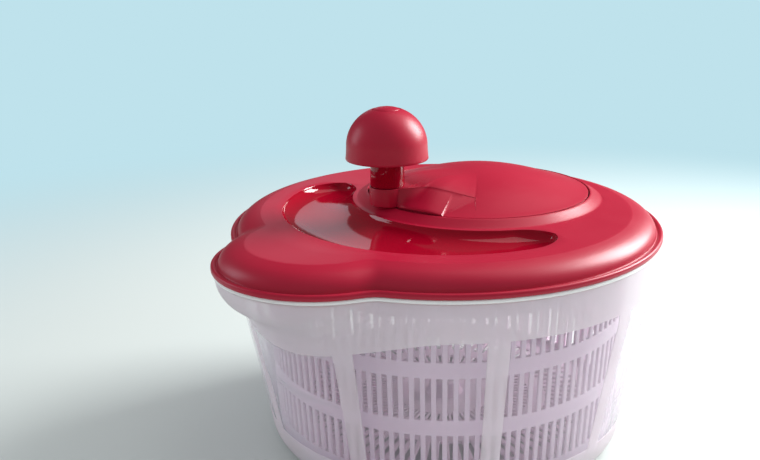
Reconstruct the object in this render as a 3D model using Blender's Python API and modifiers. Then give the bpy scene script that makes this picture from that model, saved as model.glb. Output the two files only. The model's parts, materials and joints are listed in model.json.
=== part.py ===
"""Crank-driven salad spinner: translucent bowl with a pouring lobe, slotted basket, geared crank lid.

Frame: metres, +Z up. The origin is the centre of the bowl's base, on the table. The lid and the bowl
share an outline made of a main circle and a lobe towards -Y. The crank turns about an axis set back
from the main one, and its internal ring gear drives a pinion on the main axis, which turns the basket.
"""

import math

import bmesh
import bpy
from mathutils import Matrix, Vector

MM = 0.001
OBJECT_NAME = "salad_spinner"

# Driving dimensions, shared by the bowl and the lid
RIM_HEIGHT = 130 * MM            # underside of the lid's flange
MAIN_RADIUS = 130 * MM           # flange, outside
LOBE_OFFSET = 97.6 * MM          # lobe's centre, in front of the main axis
LOBE_RADIUS = 60.7 * MM
LOBE_FILLET = 5.5 * MM           # how far the lobe and the main circle blend into each other
FIT_GAP = 0.3 * MM               # between pieces that touch
RUNNING_GAP = 0.2 * MM           # between pieces that turn on each other

# Crank and gear train
CRANK_OFFSET = 31.5 * MM         # crank axis behind the main axis
GEAR_MODULE = 1.5 * MM
RING_TEETH = 56
PINION_TEETH = 14
ARM_ANGLE = math.radians(-102.9)  # direction of the crank's arm at rest
KNOB_REACH = 67.5 * MM           # knob axis from the crank axis

CRANK_CENTRE = (0.0, CRANK_OFFSET)
KNOB_CENTRE = (KNOB_REACH * math.cos(ARM_ANGLE), CRANK_OFFSET + KNOB_REACH * math.sin(ARM_ANGLE))

# Bowl
WALL_FOOT_RADIUS = 109.3 * MM
WALL_TOP_RADIUS = 128.6 * MM
WALL_TOP_HEIGHT = 102 * MM       # the tapered wall ends here, and a nearly upright collar starts
BOWL_CORNER = 13 * MM            # round between the wall and the base, outside
BOWL_INNER_CORNER = 11.8 * MM
BOWL_WALL = 2.2 * MM
BOWL_FLOOR_TOP = 3.4 * MM
FOOT_RING = (24 * MM, 72 * MM)   # recess under the base, between its inner and outer ring
FOOT_RECESS = 1.2 * MM
# Height and furthest reach of the pouring lobe's outside, from its foot on the wall up to the collar
LOBE_SCOOP = ((87, 126.0), (91, 128.8), (97, 133.2), (103, 138.2), (108, 143.2), (112, 148.4),
              (115, 152.0), (118, 154.2), (121, 155.6), (124.5, 156.4))
SCOOP_RADIUS = 55 * MM           # least radius of the lobe in plan, on its lower part
SPIKE_TOP = 20.7 * MM

# Basket
BASKET_TOP = 125 * MM
BASKET_WALL = 1.8 * MM
BASKET_TOP_RADIUS = 112.7 * MM
BASKET_FOOT_RADIUS = 106.9 * MM
BASKET_FLOOR = 16 * MM
WALL_FACETS = 39                 # one window in each facet of the wall, in place of three fine slots
WINDOW_SHARE = 5 / 6             # of a facet's width
WINDOW_ROWS = ((88 * MM, 113 * MM), (54.5 * MM, 78.5 * MM), (24 * MM, 45 * MM))
FLOOR_WINDOWS = 13
FLOOR_WINDOW_SHARE = 0.88
DOG_COUNT = 6

# Lid
PLATEAU = RIM_HEIGHT + 12.7 * MM
LID_WALL = 2.2 * MM
HOLE_RADIUS = 69.7 * MM          # opening that the crank disc turns in
BAND_RADIUS = 77.6 * MM          # foot of the sloping band round the crank disc
BAND_TOP = RIM_HEIGHT + 16.8 * MM
POOL_INNER = 79.8 * MM           # pool edge, round the crank axis
POOL_OUTER = 99 * MM             # pool edge, round the main axis
POOL_HALF_ANGLE = math.radians(66.5)
POOL_END_ROUND = math.radians(12)
POOL_DEPTH = 6.6 * MM

# Crank disc
DISC_RADIUS = 68.9 * MM
DOME_RISE = 14.4 * MM
DOME_POWER = 1.23
DISC_WALL = 2.2 * MM
ARM_TOP = RIM_HEIGHT + 28 * MM
ARM_FOOT = RIM_HEIGHT + 17.3 * MM
BOSS_RADIUS = 10.8 * MM

# Gear tray, under the lid
TRAY_FLOOR = 136.3 * MM
TRAY_FLOOR_TOP = 138.3 * MM
TRAY_RADIUS = 76.9 * MM
TRAY_SCREW_RADIUS = 72.4 * MM
TRAY_SCREWS = 4
RING_SCREWS = 3
RING_SCREW_RADIUS = 47.4 * MM
RING_LOW = 139.5 * MM
RING_SCREW_SEAT = 141.8 * MM
RING_HIGH = 149.0 * MM

# Knob
STEM_RADIUS = 10.2 * MM
KNOB_RADIUS = 24.5 * MM
KNOB_LOW = RIM_HEIGHT + 44.5 * MM
KNOB_TOP = RIM_HEIGHT + 75.2 * MM
AXLE_RADIUS = 4.0 * MM

PARTS = None
CUTTERS = None


# ---------------------------------------------------------------- scene, materials, plain helpers

def clear_scene():
    for item in list(bpy.data.objects):
        bpy.data.objects.remove(item, do_unlink=True)


def new_collection(name):
    group = bpy.data.collections.new(name)
    bpy.context.scene.collection.children.link(group)
    return group


def plastic(name, colour, roughness, metallic=0.0, alpha=1.0):
    """A Principled material in one colour."""
    finish = bpy.data.materials.new(name)
    finish.use_nodes = True
    shader = finish.node_tree.nodes["Principled BSDF"]
    shader.inputs["Base Color"].default_value = (*colour, 1.0)
    shader.inputs["Roughness"].default_value = roughness
    shader.inputs["Metallic"].default_value = metallic
    shader.inputs["Alpha"].default_value = alpha
    return finish


def add_object(name, mesh, finish, smooth_angle=32):
    """Link a mesh as a part, smooth-shaded up to an edge angle in degrees."""
    mesh.materials.append(finish)
    mesh.shade_smooth()
    mesh.set_sharp_from_angle(angle=math.radians(smooth_angle))
    part = bpy.data.objects.new(name, mesh)
    PARTS.objects.link(part)
    return part


def polar(radius, angle, height, centre=(0.0, 0.0)):
    return Vector((centre[0] + radius * math.cos(angle), centre[1] + radius * math.sin(angle), height))


def skin(name, rings, finish, poles=None):
    """Loft a closed body through rings of equal length.

    Without poles the last ring joins the first, as in a swept section. With poles, the first and the
    last ring are closed with a fan to a point each.
    """
    build = bmesh.new()
    grid = [[build.verts.new(point) for point in ring] for ring in rings]
    count = len(rings[0])
    pairs = list(zip(grid, grid[1:]))
    if poles is None:
        pairs.append((grid[-1], grid[0]))
    for low, high in pairs:
        for index in range(count):
            after = (index + 1) % count
            build.faces.new((low[index], low[after], high[after], high[index]))
    if poles is not None:
        for tip, ring in zip(poles, (grid[0], grid[-1])):
            apex = build.verts.new(tip)
            for index in range(count):
                build.faces.new((apex, ring[(index + 1) % count], ring[index]))
    bmesh.ops.recalc_face_normals(build, faces=build.faces)
    mesh = bpy.data.meshes.new(name)
    build.to_mesh(mesh)
    build.free()
    return add_object(name, mesh, finish)


def turned(name, profile, finish, centre=(0.0, 0.0), steps=16, closed=True):
    """Turn a profile of (radius, height) points round the vertical line through centre.

    The outer side runs downwards. A closed profile is a loop; an open one starts and ends on the axis.
    """
    mesh = bpy.data.meshes.new(name)
    count = len(profile)
    edges = [(index, index + 1) for index in range(count - 1)]
    if closed:
        edges.append((count - 1, 0))
    mesh.from_pydata([(radius, 0.0, height) for radius, height in profile], edges, [])
    part = add_object(name, mesh, finish)
    part.location = (centre[0], centre[1], 0.0)
    spin = part.modifiers.new("turn", 'SCREW')
    spin.steps = steps
    spin.render_steps = steps
    spin.use_merge_vertices = True
    spin.merge_threshold = 0.00001
    spin.use_smooth_shade = True
    return part


def prisms(name, outlines, low, high, finish=None):
    """Upright prisms over counter-clockwise outlines, joined in one mesh."""
    build = bmesh.new()
    for outline in outlines:
        base = [build.verts.new((x, y, low)) for x, y in outline]
        bottom = build.faces.new(list(reversed(base)))
        lifted = bmesh.ops.extrude_face_region(build, geom=[bottom])
        moved = [item for item in lifted["geom"] if isinstance(item, bmesh.types.BMVert)]
        bmesh.ops.translate(build, verts=moved, vec=(0, 0, high - low))
    bmesh.ops.recalc_face_normals(build, faces=build.faces)
    mesh = bpy.data.meshes.new(name)
    build.to_mesh(mesh)
    build.free()
    if finish is not None:
        return add_object(name, mesh, finish)
    return guide(name, mesh)


def guide(name, mesh):
    """Link a mesh as a cutter or a joined piece, which isn't a part itself."""
    tool = bpy.data.objects.new(name, mesh)
    tool.hide_render = True
    tool.display_type = 'WIRE'
    CUTTERS.objects.link(tool)
    return tool


def rods(name, centres, radius, low, high, sides=16):
    """Upright cylinders, joined in one cutter mesh."""
    build = bmesh.new()
    for x, y in centres:
        place = Matrix.Translation((x, y, (low + high) / 2))
        bmesh.ops.create_cone(build, cap_ends=True, segments=sides, radius1=radius, radius2=radius,
                              depth=high - low, matrix=place)
    mesh = bpy.data.meshes.new(name)
    build.to_mesh(mesh)
    build.free()
    return guide(name, mesh)


def boolean(part, tool, operation):
    step = part.modifiers.new(f"{operation.lower()} {tool.name}", 'BOOLEAN')
    step.operation = operation
    step.solver = 'EXACT'
    step.object = tool


def on_circle(count, radius, centre=(0.0, 0.0), phase=0.0):
    """Points spaced evenly round a circle."""
    turn = 2 * math.pi / count
    return [(centre[0] + radius * math.cos(phase + turn * index),
             centre[1] + radius * math.sin(phase + turn * index)) for index in range(count)]


def sector(inner, outer, start, stop, steps=4):
    """Counter-clockwise outline of a piece of a ring."""
    angles = [start + (stop - start) * index / steps for index in range(steps + 1)]
    far = [(outer * math.cos(angle), outer * math.sin(angle)) for angle in angles]
    near = [(inner * math.cos(angle), inner * math.sin(angle)) for angle in reversed(angles)]
    return far + near


def sector_row(inner, outer, count, share, steps):
    """Pieces of a ring spaced evenly round it, each as wide as a share of its pitch."""
    pitch = 2 * math.pi / count
    margin = pitch * (1 - share) / 2
    return [sector(inner, outer, pitch * index + margin, pitch * (index + 1) - margin, steps)
            for index in range(count)]


def bar(radius_in, radius_out, angle, width):
    """Counter-clockwise outline of a radial bar of constant width."""
    along = Vector((math.cos(angle), math.sin(angle)))
    side = Vector((-along.y, along.x)) * width / 2
    corners = (along * radius_in - side, along * radius_out - side,
               along * radius_out + side, along * radius_in + side)
    return [(corner.x, corner.y) for corner in corners]


# ---------------------------------------------------------------- outline shared by the lid and the bowl

def blend_max(first, second, blend):
    """Larger of two lengths, rounded where they are nearly equal."""
    overlap = max(blend - abs(first - second), 0.0) / blend
    return max(first, second) + overlap * overlap * blend / 4


def outline_radius(angle, main_radius, lobe_radius, lobe_offset=LOBE_OFFSET):
    """Distance from the main axis to the outline, in the given direction."""
    from_lobe = math.remainder(angle + math.pi / 2, 2 * math.pi)
    across = lobe_offset * math.sin(from_lobe)
    if abs(from_lobe) > math.pi / 2 or abs(across) >= lobe_radius:
        return main_radius
    lobe = lobe_offset * math.cos(from_lobe) + math.sqrt(lobe_radius ** 2 - across ** 2)
    return blend_max(main_radius, lobe, LOBE_FILLET)


def directions(dense_half_angle, dense_steps, other_steps, middle=-math.pi / 2):
    """Directions round a circle, closer together on both sides of the middle one."""
    dense = [middle - dense_half_angle + 2 * dense_half_angle * index / dense_steps
             for index in range(dense_steps)]
    rest_start = middle + dense_half_angle
    rest_span = 2 * math.pi - 2 * dense_half_angle
    rest = [rest_start + rest_span * index / other_steps for index in range(other_steps)]
    return dense + rest


def radius_from_crank(angle, inset):
    """Distance from the crank axis to the outline moved inwards by inset, found by halving."""
    low, high = 0.0, 2 * MAIN_RADIUS
    for _ in range(40):
        middle = (low + high) / 2
        point = polar(middle, angle, 0.0, CRANK_CENTRE)
        limit = outline_radius(math.atan2(point.y, point.x), MAIN_RADIUS - inset, LOBE_RADIUS - inset)
        if math.hypot(point.x, point.y) < limit:
            low = middle
        else:
            high = middle
    return (low + high) / 2


def radius_to_main_circle(angle, radius):
    """Distance from the crank axis to a circle round the main axis."""
    forward = CRANK_OFFSET * math.sin(angle)
    return -forward + math.sqrt(forward ** 2 + radius ** 2 - CRANK_OFFSET ** 2)


# ---------------------------------------------------------------- bowl

def wall_radius(height):
    """Outer radius of the bowl's tapered wall."""
    return WALL_FOOT_RADIUS + (WALL_TOP_RADIUS - WALL_FOOT_RADIUS) * height / WALL_TOP_HEIGHT


def corner_levels(radius, height, corner, turns):
    """Levels round the corner between the base and a wall of the given radius."""
    return [(radius - corner + corner * math.sin(math.radians(turn)),
             height + corner * (1 - math.cos(math.radians(turn))), None) for turn in turns]


def scoop_levels():
    """Outer levels of the wall and collar where the pouring lobe stands out of them."""
    collar_slope = 0.016
    levels = []
    for height, reach in LOBE_SCOOP:
        above = height * MM - WALL_TOP_HEIGHT
        radius = wall_radius(height * MM) if above < 0 else WALL_TOP_RADIUS + collar_slope * above
        levels.append((radius, height * MM, reach * MM))
    return levels


def inner_levels(levels):
    """The same levels moved inwards by the wall's thickness, measured square to the lobe's slope."""
    inner = []
    for index, (radius, height, reach) in enumerate(levels):
        below, above = levels[max(index - 1, 0)], levels[min(index + 1, len(levels) - 1)]
        slope = (above[2] - below[2]) / (above[1] - below[1])
        inner.append((radius - BOWL_WALL, height, reach - BOWL_WALL * math.hypot(1, slope)))
    return inner


def bowl_levels():
    """(radius, height, lobe reach) from the outer bottom to the inner bottom.

    The lobe reach is the lobe's furthest point from the main axis, or None on a round level.
    """
    ring_in, ring_out = FOOT_RING
    base_radius = wall_radius(BOWL_CORNER) - BOWL_CORNER
    outer = [(ring_in, 0, None), (ring_in + FOOT_RECESS, FOOT_RECESS, None),
             (ring_out - FOOT_RECESS, FOOT_RECESS, None), (ring_out, 0, None), (base_radius, 0, None)]
    outer += corner_levels(wall_radius(BOWL_CORNER), 0, BOWL_CORNER, (30, 60, 90))
    scoop = scoop_levels()
    rim = [(129.0 * MM, 127.9 * MM, 156.9 * MM), (129.5 * MM, 128.6 * MM, 157.8 * MM),
           (129.5 * MM, 129.7 * MM, 157.8 * MM), (126.3 * MM, 129.7 * MM, 154.3 * MM)]
    lip_height = BOWL_FLOOR_TOP + BOWL_INNER_CORNER
    corner = corner_levels(wall_radius(lip_height) - BOWL_WALL, BOWL_FLOOR_TOP, BOWL_INNER_CORNER,
                           (90, 60, 30, 0))
    spike = [(9 * MM, BOWL_FLOOR_TOP, None), (6.4 * MM, 4.4 * MM, None), (4.6 * MM, 6.6 * MM, None),
             (4.4 * MM, 18.6 * MM, None), (3 * MM, 20.1 * MM, None)]
    return outer + scoop + rim + inner_levels(scoop)[::-1] + corner + spike


def make_bowl(finish):
    angles = directions(math.radians(60), 28, 24)
    rings = []
    for radius, height, reach in bowl_levels():
        ring = []
        for angle in angles:
            distance = radius
            if reach is not None:
                lobe_radius = lobe_radius_at(reach)
                distance = outline_radius(angle, radius, lobe_radius, reach - lobe_radius)
            ring.append(polar(distance, angle, height))
        rings.append(ring)
    return skin("bowl", rings, finish, poles=((0, 0, 0), (0, 0, SPIKE_TOP)))


def lobe_radius_at(reach):
    """The lobe keeps its centre below the rim until it is as narrow as its lower part."""
    return max(reach - LOBE_OFFSET, SCOOP_RADIUS)


# ---------------------------------------------------------------- basket

def basket_radius(height):
    """Outer radius of the basket's wall."""
    share = (height - BASKET_FLOOR) / (BASKET_TOP - BASKET_FLOOR)
    return BASKET_FOOT_RADIUS + (BASKET_TOP_RADIUS - BASKET_FOOT_RADIUS) * share


def make_basket(finish):
    under = BASKET_FLOOR - 2 * MM
    profile = [(0, 26.3 * MM), (7 * MM, 26.3 * MM), (9.5 * MM, 24 * MM), (11.5 * MM, BASKET_FLOOR),
               (97 * MM, BASKET_FLOOR), (102.5 * MM, 18 * MM), (105.1 * MM, 23 * MM),
               (BASKET_TOP_RADIUS - BASKET_WALL, BASKET_TOP),
               (114.2 * MM, BASKET_TOP), (114.2 * MM, BASKET_TOP - 2 * MM),
               (basket_radius(BASKET_TOP - 3 * MM), BASKET_TOP - 3 * MM),
               (107.1 * MM, 22 * MM), (104 * MM, 16.2 * MM), (98 * MM, under), (9.5 * MM, under),
               (9.5 * MM, 9 * MM), (7.3 * MM, 9 * MM), (7.3 * MM, 24.3 * MM), (0, 24.3 * MM)]
    basket = turned("basket", profile, finish, steps=WALL_FACETS, closed=False)
    for row, (low, high) in enumerate(WINDOW_ROWS):
        outlines = sector_row(90 * MM, 125 * MM, WALL_FACETS, WINDOW_SHARE, 1)
        boolean(basket, prisms(f"basket_window_row_{row + 1}", outlines, low, high), 'DIFFERENCE')
    floor = sector_row(34 * MM, 88 * MM, FLOOR_WINDOWS, FLOOR_WINDOW_SHARE, 3)
    boolean(basket, prisms("basket_floor_windows", floor, 10 * MM, 20 * MM), 'DIFFERENCE')
    notches = [bar(104 * MM, 120 * MM, angle, 9 * MM) for angle in dog_angles()]
    boolean(basket, prisms("basket_notches", notches, 121.4 * MM, 130 * MM), 'DIFFERENCE')
    return basket


def dog_angles():
    return [2 * math.pi * (index + 0.5) / DOG_COUNT for index in range(DOG_COUNT)]


def make_basket_bush(finish):
    profile = [(0, 24 * MM), (7 * MM, 24 * MM), (7 * MM, 7.5 * MM), (5.2 * MM, 7.5 * MM),
               (4.9 * MM, 9 * MM), (4.9 * MM, 21 * MM), (0, 21 * MM)]
    return turned("basket_bush", profile, finish, closed=False)


# ---------------------------------------------------------------- lid

def pool_share(angle):
    """How much of the pool's width and depth is left in a direction from the crank axis."""
    from_front = abs(math.remainder(angle + math.pi / 2, 2 * math.pi))
    into_end = (from_front - (POOL_HALF_ANGLE - POOL_END_ROUND)) / POOL_END_ROUND
    if into_end <= 0:
        return 1.0
    if into_end >= 1:
        return 0.0
    return math.sqrt(1 - into_end ** 2)


def pool_edges(angle):
    """Inner and outer radius of the pool from the crank axis, drawn together at its ends."""
    inner = POOL_INNER
    outer = radius_to_main_circle(angle, POOL_OUTER)
    middle = (inner + outer) / 2
    half = (outer - inner) / 2 * max(pool_share(angle), 0.04)
    return middle - half, middle + half


def lid_section(angle):
    """Closed section of the lid's shell in one direction from the crank axis."""
    inner, outer = pool_edges(angle)
    share = pool_share(angle)
    depth = POOL_DEPTH * math.sqrt(share)
    width = outer - inner
    top = [(HOLE_RADIUS, BAND_TOP), (BAND_RADIUS, PLATEAU), (inner, PLATEAU)]
    floor_steps = ((0.06, 0.55), (0.2, 0.93), (0.5, 1.0), (0.8, 0.93), (0.94, 0.55))
    top += [(inner + width * across, PLATEAU - depth * down) for across, down in floor_steps]
    top.append((outer, PLATEAU))
    rim = ((18, 12.7), (12, 12.0), (8.5, 10.3), (5.2, 7.0), (3.6, 3.2), (0.5, 3.0), (0, 2.3), (0, 0),
           (5.2, 0), (5.4, -5), (7.2, -5), (7.4, 1.6), (8.4, 6), (11.5, 9), (18, 10.5))
    edge = [(radius_from_crank(angle, inset * MM), RIM_HEIGHT + lift * MM) for inset, lift in rim]
    wall = LID_WALL * 0.8 * share
    under = [(outer + wall, PLATEAU - LID_WALL)]
    under += [(inner + width * across, PLATEAU - LID_WALL - depth * down)
              for across, down in ((0.92, 0.8), (0.5, 1.0), (0.08, 0.8))]
    under += [(inner - min(wall, 1.4 * MM), PLATEAU - LID_WALL), (77.3 * MM, PLATEAU - LID_WALL),
              (HOLE_RADIUS, BAND_TOP - 2.4 * MM)]
    return [polar(radius, angle, height, CRANK_CENTRE) for radius, height in top + edge + under]


def tray_screw_centres():
    return on_circle(TRAY_SCREWS, TRAY_SCREW_RADIUS, CRANK_CENTRE, math.radians(45))


def make_lid_shell(finish):
    angles = directions(math.radians(75), 40, 24)
    sections = [lid_section(angle) for angle in angles]
    rings = [list(ring) for ring in zip(*sections)]
    lid = skin("lid_shell", rings, finish)
    posts = rods("lid_screw_posts", tray_screw_centres(), 2.6 * MM, TRAY_FLOOR_TOP + FIT_GAP, 143.4 * MM)
    boolean(lid, posts, 'UNION')
    holes = rods("lid_screw_holes", tray_screw_centres(), 1.6 * MM, 137 * MM, 142.6 * MM, 12)
    boolean(lid, holes, 'DIFFERENCE')
    return lid


def make_gear_tray(finish):
    bush_hole = 7.5 * MM
    profile = [(TRAY_RADIUS, 140.1 * MM), (TRAY_RADIUS, TRAY_FLOOR), (bush_hole, TRAY_FLOOR),
               (bush_hole, 143 * MM), (10 * MM, 143 * MM), (10 * MM, TRAY_FLOOR_TOP),
               (69 * MM, TRAY_FLOOR_TOP), (TRAY_RADIUS - 1.6 * MM, TRAY_FLOOR_TOP),
               (TRAY_RADIUS - 1.6 * MM, 140.1 * MM)]
    tray = turned("gear_tray", profile, finish, CRANK_CENTRE, steps=36)
    holes = rods("tray_screw_holes", tray_screw_centres(), 1.6 * MM, 130 * MM, 139 * MM, 12)
    boolean(tray, holes, 'DIFFERENCE')
    boolean(tray, rods("tray_pinion_hole", [(0, 0)], 7.5 * MM, 130 * MM, 140 * MM, 24), 'DIFFERENCE')
    return tray


def make_bush(name, centre, bore, low, high, finish):
    """Flanged bearing bush, its flange resting on the tray."""
    body = 7.2 * MM
    flange = 8.8 * MM
    profile = [(flange, high), (flange, high - 1 * MM), (body, high - 1 * MM), (body, low),
               (bore, low), (bore, high)]
    return turned(name, profile, finish, centre)


def make_pan_screw(name, centre, shank, length, head_radius, head_side, head_up, finish):
    """Pan-head screw. head_side is the height of the head's bearing face."""
    rise = 2.0 * MM if head_up else -2.0 * MM
    tip = head_side - math.copysign(length, rise)
    profile = [(0, head_side + rise), (head_radius * 0.7, head_side + rise),
               (head_radius, head_side + rise * 0.4), (head_radius, head_side), (shank, head_side),
               (shank, tip + math.copysign(1.2 * MM, rise)), (0, tip)]
    if not head_up:
        profile.reverse()
    return turned(name, profile, finish, centre, steps=12, closed=False)


def make_washer(name, centre, bore, radius, low, high, finish):
    profile = [(radius, high), (radius, low), (bore, low), (bore, high)]
    return turned(name, profile, finish, centre)


# ---------------------------------------------------------------- crank

def dome_height(radius):
    share = max(1 - (radius / DISC_RADIUS) ** 2, 0.0)
    return BAND_TOP + DOME_RISE * share ** DOME_POWER


def interpolate(value, stations):
    """Piecewise-linear value through (position, value) stations."""
    if value <= stations[0][0]:
        return stations[0][1]
    for (before, low), (after, high) in zip(stations, stations[1:]):
        if value <= after:
            return low + (high - low) * (value - before) / (after - before)
    return stations[-1][1]


# The fan that carries the arm, by angle from the arm in degrees: where its sloping side starts and
# ends from the crank axis, and the heights there above the lid's flange, in millimetres
FAN_TOP_RADIUS = ((0, 69), (9.2, 68.4), (13.7, 59.3), (17, 53), (26, 50.6), (34, 48.6), (43, 47.8),
                  (51.5, 48.5))
FAN_TOP_LIFT = ((0, 28), (17, 28), (26, 27.3), (34, 25.9), (43, 24.3), (51.5, 22.9))
FAN_FOOT_RADIUS = ((0, 68.9), (35.5, 68.9), (51.5, 48.6))
FAN_FOOT_LIFT = ((0, 17.8), (9.2, 17.8), (18, 18.9), (28, 18.9), (35.5, 17.6))
FAN_ANGLE = 51.5
FAN_BLEND_RADIUS = 12 * MM


def fan_lift(radius, off_arm):
    """Height above the dome of the fan's upper surface."""
    edge = interpolate(off_arm, FAN_TOP_RADIUS) * MM
    crown = RIM_HEIGHT + interpolate(off_arm, FAN_TOP_LIFT) * MM
    if radius >= edge:
        return crown
    crease = min(edge, 55 * MM)
    if radius >= crease:
        return crown
    share = (radius - FAN_BLEND_RADIUS) / (crease - FAN_BLEND_RADIUS)
    if share <= 0:
        return dome_height(radius)
    smooth = share * share * (3 - 2 * share)
    return dome_height(radius) + (crown - dome_height(crease)) * smooth


def disc_column(angle):
    """Upper surface of the crank disc in one direction: points from the centre to the rim."""
    off_arm = abs(math.degrees(math.remainder(angle - ARM_ANGLE, 2 * math.pi)))
    shares = (0.12, 0.3, 0.5, 0.68, 0.84, 1.0)
    if off_arm >= FAN_ANGLE:
        inner = [48.5 * MM * share for share in shares]
        outer = [(55 * MM, dome_height(55 * MM)), (62 * MM, dome_height(62 * MM)),
                 (66.5 * MM, dome_height(66.5 * MM)), (DISC_RADIUS, BAND_TOP)]
        return [(radius, dome_height(radius)) for radius in inner] + outer
    edge = interpolate(off_arm, FAN_TOP_RADIUS) * MM
    foot = interpolate(off_arm, FAN_FOOT_RADIUS) * MM
    edge_height = RIM_HEIGHT + interpolate(off_arm, FAN_TOP_LIFT) * MM
    column = [(edge * share, fan_lift(edge * share, off_arm)) for share in shares]
    if foot > DISC_RADIUS - 1 * MM:
        foot_height = RIM_HEIGHT + interpolate(off_arm, FAN_FOOT_LIFT) * MM
        for share in (0.4, 0.8):
            column.append((edge + (foot - edge) * share, edge_height + (foot_height - edge_height) * share))
        column.append((DISC_RADIUS, foot_height))
        column.append((DISC_RADIUS, BAND_TOP))
        return column
    foot_height = dome_height(foot)
    column.append(((edge + foot) / 2, (edge_height + foot_height) / 2))
    column.append((foot, foot_height))
    column.append(((foot + DISC_RADIUS) / 2, dome_height((foot + DISC_RADIUS) / 2)))
    column.append((DISC_RADIUS, BAND_TOP))
    return column


def disc_underside():
    """(radius, height) from the rim in to the screw hole in the hub."""
    rib_in, rib_out = 44.4 * MM, 50.4 * MM
    under = [(DISC_RADIUS, BAND_TOP - 1.8 * MM), (66 * MM, BAND_TOP - 1.6 * MM)]
    under += [(radius, dome_height(radius) - DISC_WALL) for radius in (57 * MM, rib_out)]
    under += [(rib_out, RING_HIGH + FIT_GAP), (rib_in, RING_HIGH + FIT_GAP)]
    under += [(radius, dome_height(radius) - DISC_WALL) for radius in (rib_in, 26 * MM, 7.4 * MM)]
    under += [(6 * MM, 157 * MM), (6 * MM, 135.9 * MM), (1.8 * MM, 135.9 * MM), (1.8 * MM, 149 * MM)]
    return under


def ring_screw_centres():
    return on_circle(RING_SCREWS, RING_SCREW_RADIUS, CRANK_CENTRE, ARM_ANGLE + math.pi / 3)


def make_crank_disc(finish):
    angles = directions(math.radians(54), 24, 28, middle=ARM_ANGLE)
    columns = [disc_column(angle) for angle in angles]
    rings = []
    for station in range(len(columns[0])):
        rings.append([polar(column[station][0], angle, column[station][1], CRANK_CENTRE)
                      for angle, column in zip(angles, columns)])
    for radius, height in disc_underside():
        rings.append([polar(radius, angle, height, CRANK_CENTRE) for angle in angles])
    tips = ((0, CRANK_OFFSET, BAND_TOP + DOME_RISE), (0, CRANK_OFFSET, 149.5 * MM))
    disc = skin("crank_disc", rings, finish, poles=tips)
    boss = rods("crank_boss", [KNOB_CENTRE], BOSS_RADIUS, ARM_FOOT, ARM_TOP - 0.02 * MM, 32)
    boolean(disc, boss, 'UNION')
    socket = rods("crank_axle_socket", [KNOB_CENTRE], AXLE_RADIUS + FIT_GAP, 150 * MM, 170 * MM, 24)
    boolean(disc, socket, 'DIFFERENCE')
    holes = rods("crank_ring_screw_holes", ring_screw_centres(), 1.5 * MM, 140 * MM, 152.5 * MM, 12)
    boolean(disc, holes, 'DIFFERENCE')
    return disc


def gear_outline(teeth, radii, half_widths, centre, phase):
    """Outline of a toothed wheel: each tooth is a trapezium from its root to its tip.

    radii are the root's and the tip's; half_widths are half the tooth there, as a share of the pitch.
    """
    root, tip = radii
    pitch = 2 * math.pi / teeth
    points = []
    for tooth in range(teeth):
        for radius, offset in ((root, -half_widths[0]), (tip, -half_widths[1]),
                               (tip, half_widths[1]), (root, half_widths[0])):
            angle = phase + pitch * (tooth + offset)
            points.append((centre[0] + radius * math.cos(angle), centre[1] + radius * math.sin(angle)))
    return points


def make_ring_gear(finish):
    """Internal gear under the crank disc, on the crank axis."""
    pitch_radius = GEAR_MODULE * RING_TEETH / 2
    radii = (pitch_radius + 1.15 * GEAR_MODULE, pitch_radius - 0.9 * GEAR_MODULE)
    teeth = gear_outline(RING_TEETH, radii, (0.25, 0.13), CRANK_CENTRE, -math.pi / 2)
    outer = 51 * MM
    inner = 30 * MM
    blank = [(outer, RING_HIGH), (outer, RING_LOW), (inner, RING_LOW), (inner, RING_HIGH)]
    gear = turned("ring_gear", blank, finish, CRANK_CENTRE, steps=56)
    boolean(gear, prisms("ring_gear_teeth", [teeth], 130 * MM, 160 * MM), 'DIFFERENCE')
    holes = rods("ring_gear_screw_holes", ring_screw_centres(), 1.5 * MM, 130 * MM, 160 * MM, 12)
    boolean(gear, holes, 'DIFFERENCE')
    seats = rods("ring_gear_screw_seats", ring_screw_centres(), 2.7 * MM, 130 * MM,
                 RING_SCREW_SEAT + FIT_GAP, 12)
    boolean(gear, seats, 'DIFFERENCE')
    return gear


def make_drive_pinion(finish):
    """Pinion on the main axis, with its shaft and the square end that turns the drive plate."""
    pitch_radius = GEAR_MODULE * PINION_TEETH / 2
    radii = (pitch_radius - 1.15 * GEAR_MODULE, pitch_radius + 0.9 * GEAR_MODULE)
    half_pitch = math.pi / PINION_TEETH
    teeth = gear_outline(PINION_TEETH, radii, (0.25, 0.13), (0, 0), -math.pi / 2 + half_pitch)
    pinion = prisms("drive_pinion", [teeth], RING_LOW + 0.5 * MM, RING_HIGH - 1.5 * MM, finish)
    boolean(pinion, rods("pinion_shaft", [(0, 0)], 5 * MM, 133 * MM, 141 * MM, 24), 'UNION')
    square = [(-3.4 * MM, -3.4 * MM), (3.4 * MM, -3.4 * MM), (3.4 * MM, 3.4 * MM), (-3.4 * MM, 3.4 * MM)]
    boolean(pinion, prisms("pinion_square", [square], 127 * MM, 134 * MM), 'UNION')
    boolean(pinion, rods("pinion_screw_hole", [(0, 0)], 1.8 * MM, 120 * MM, 138 * MM, 12), 'DIFFERENCE')
    return pinion


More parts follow.
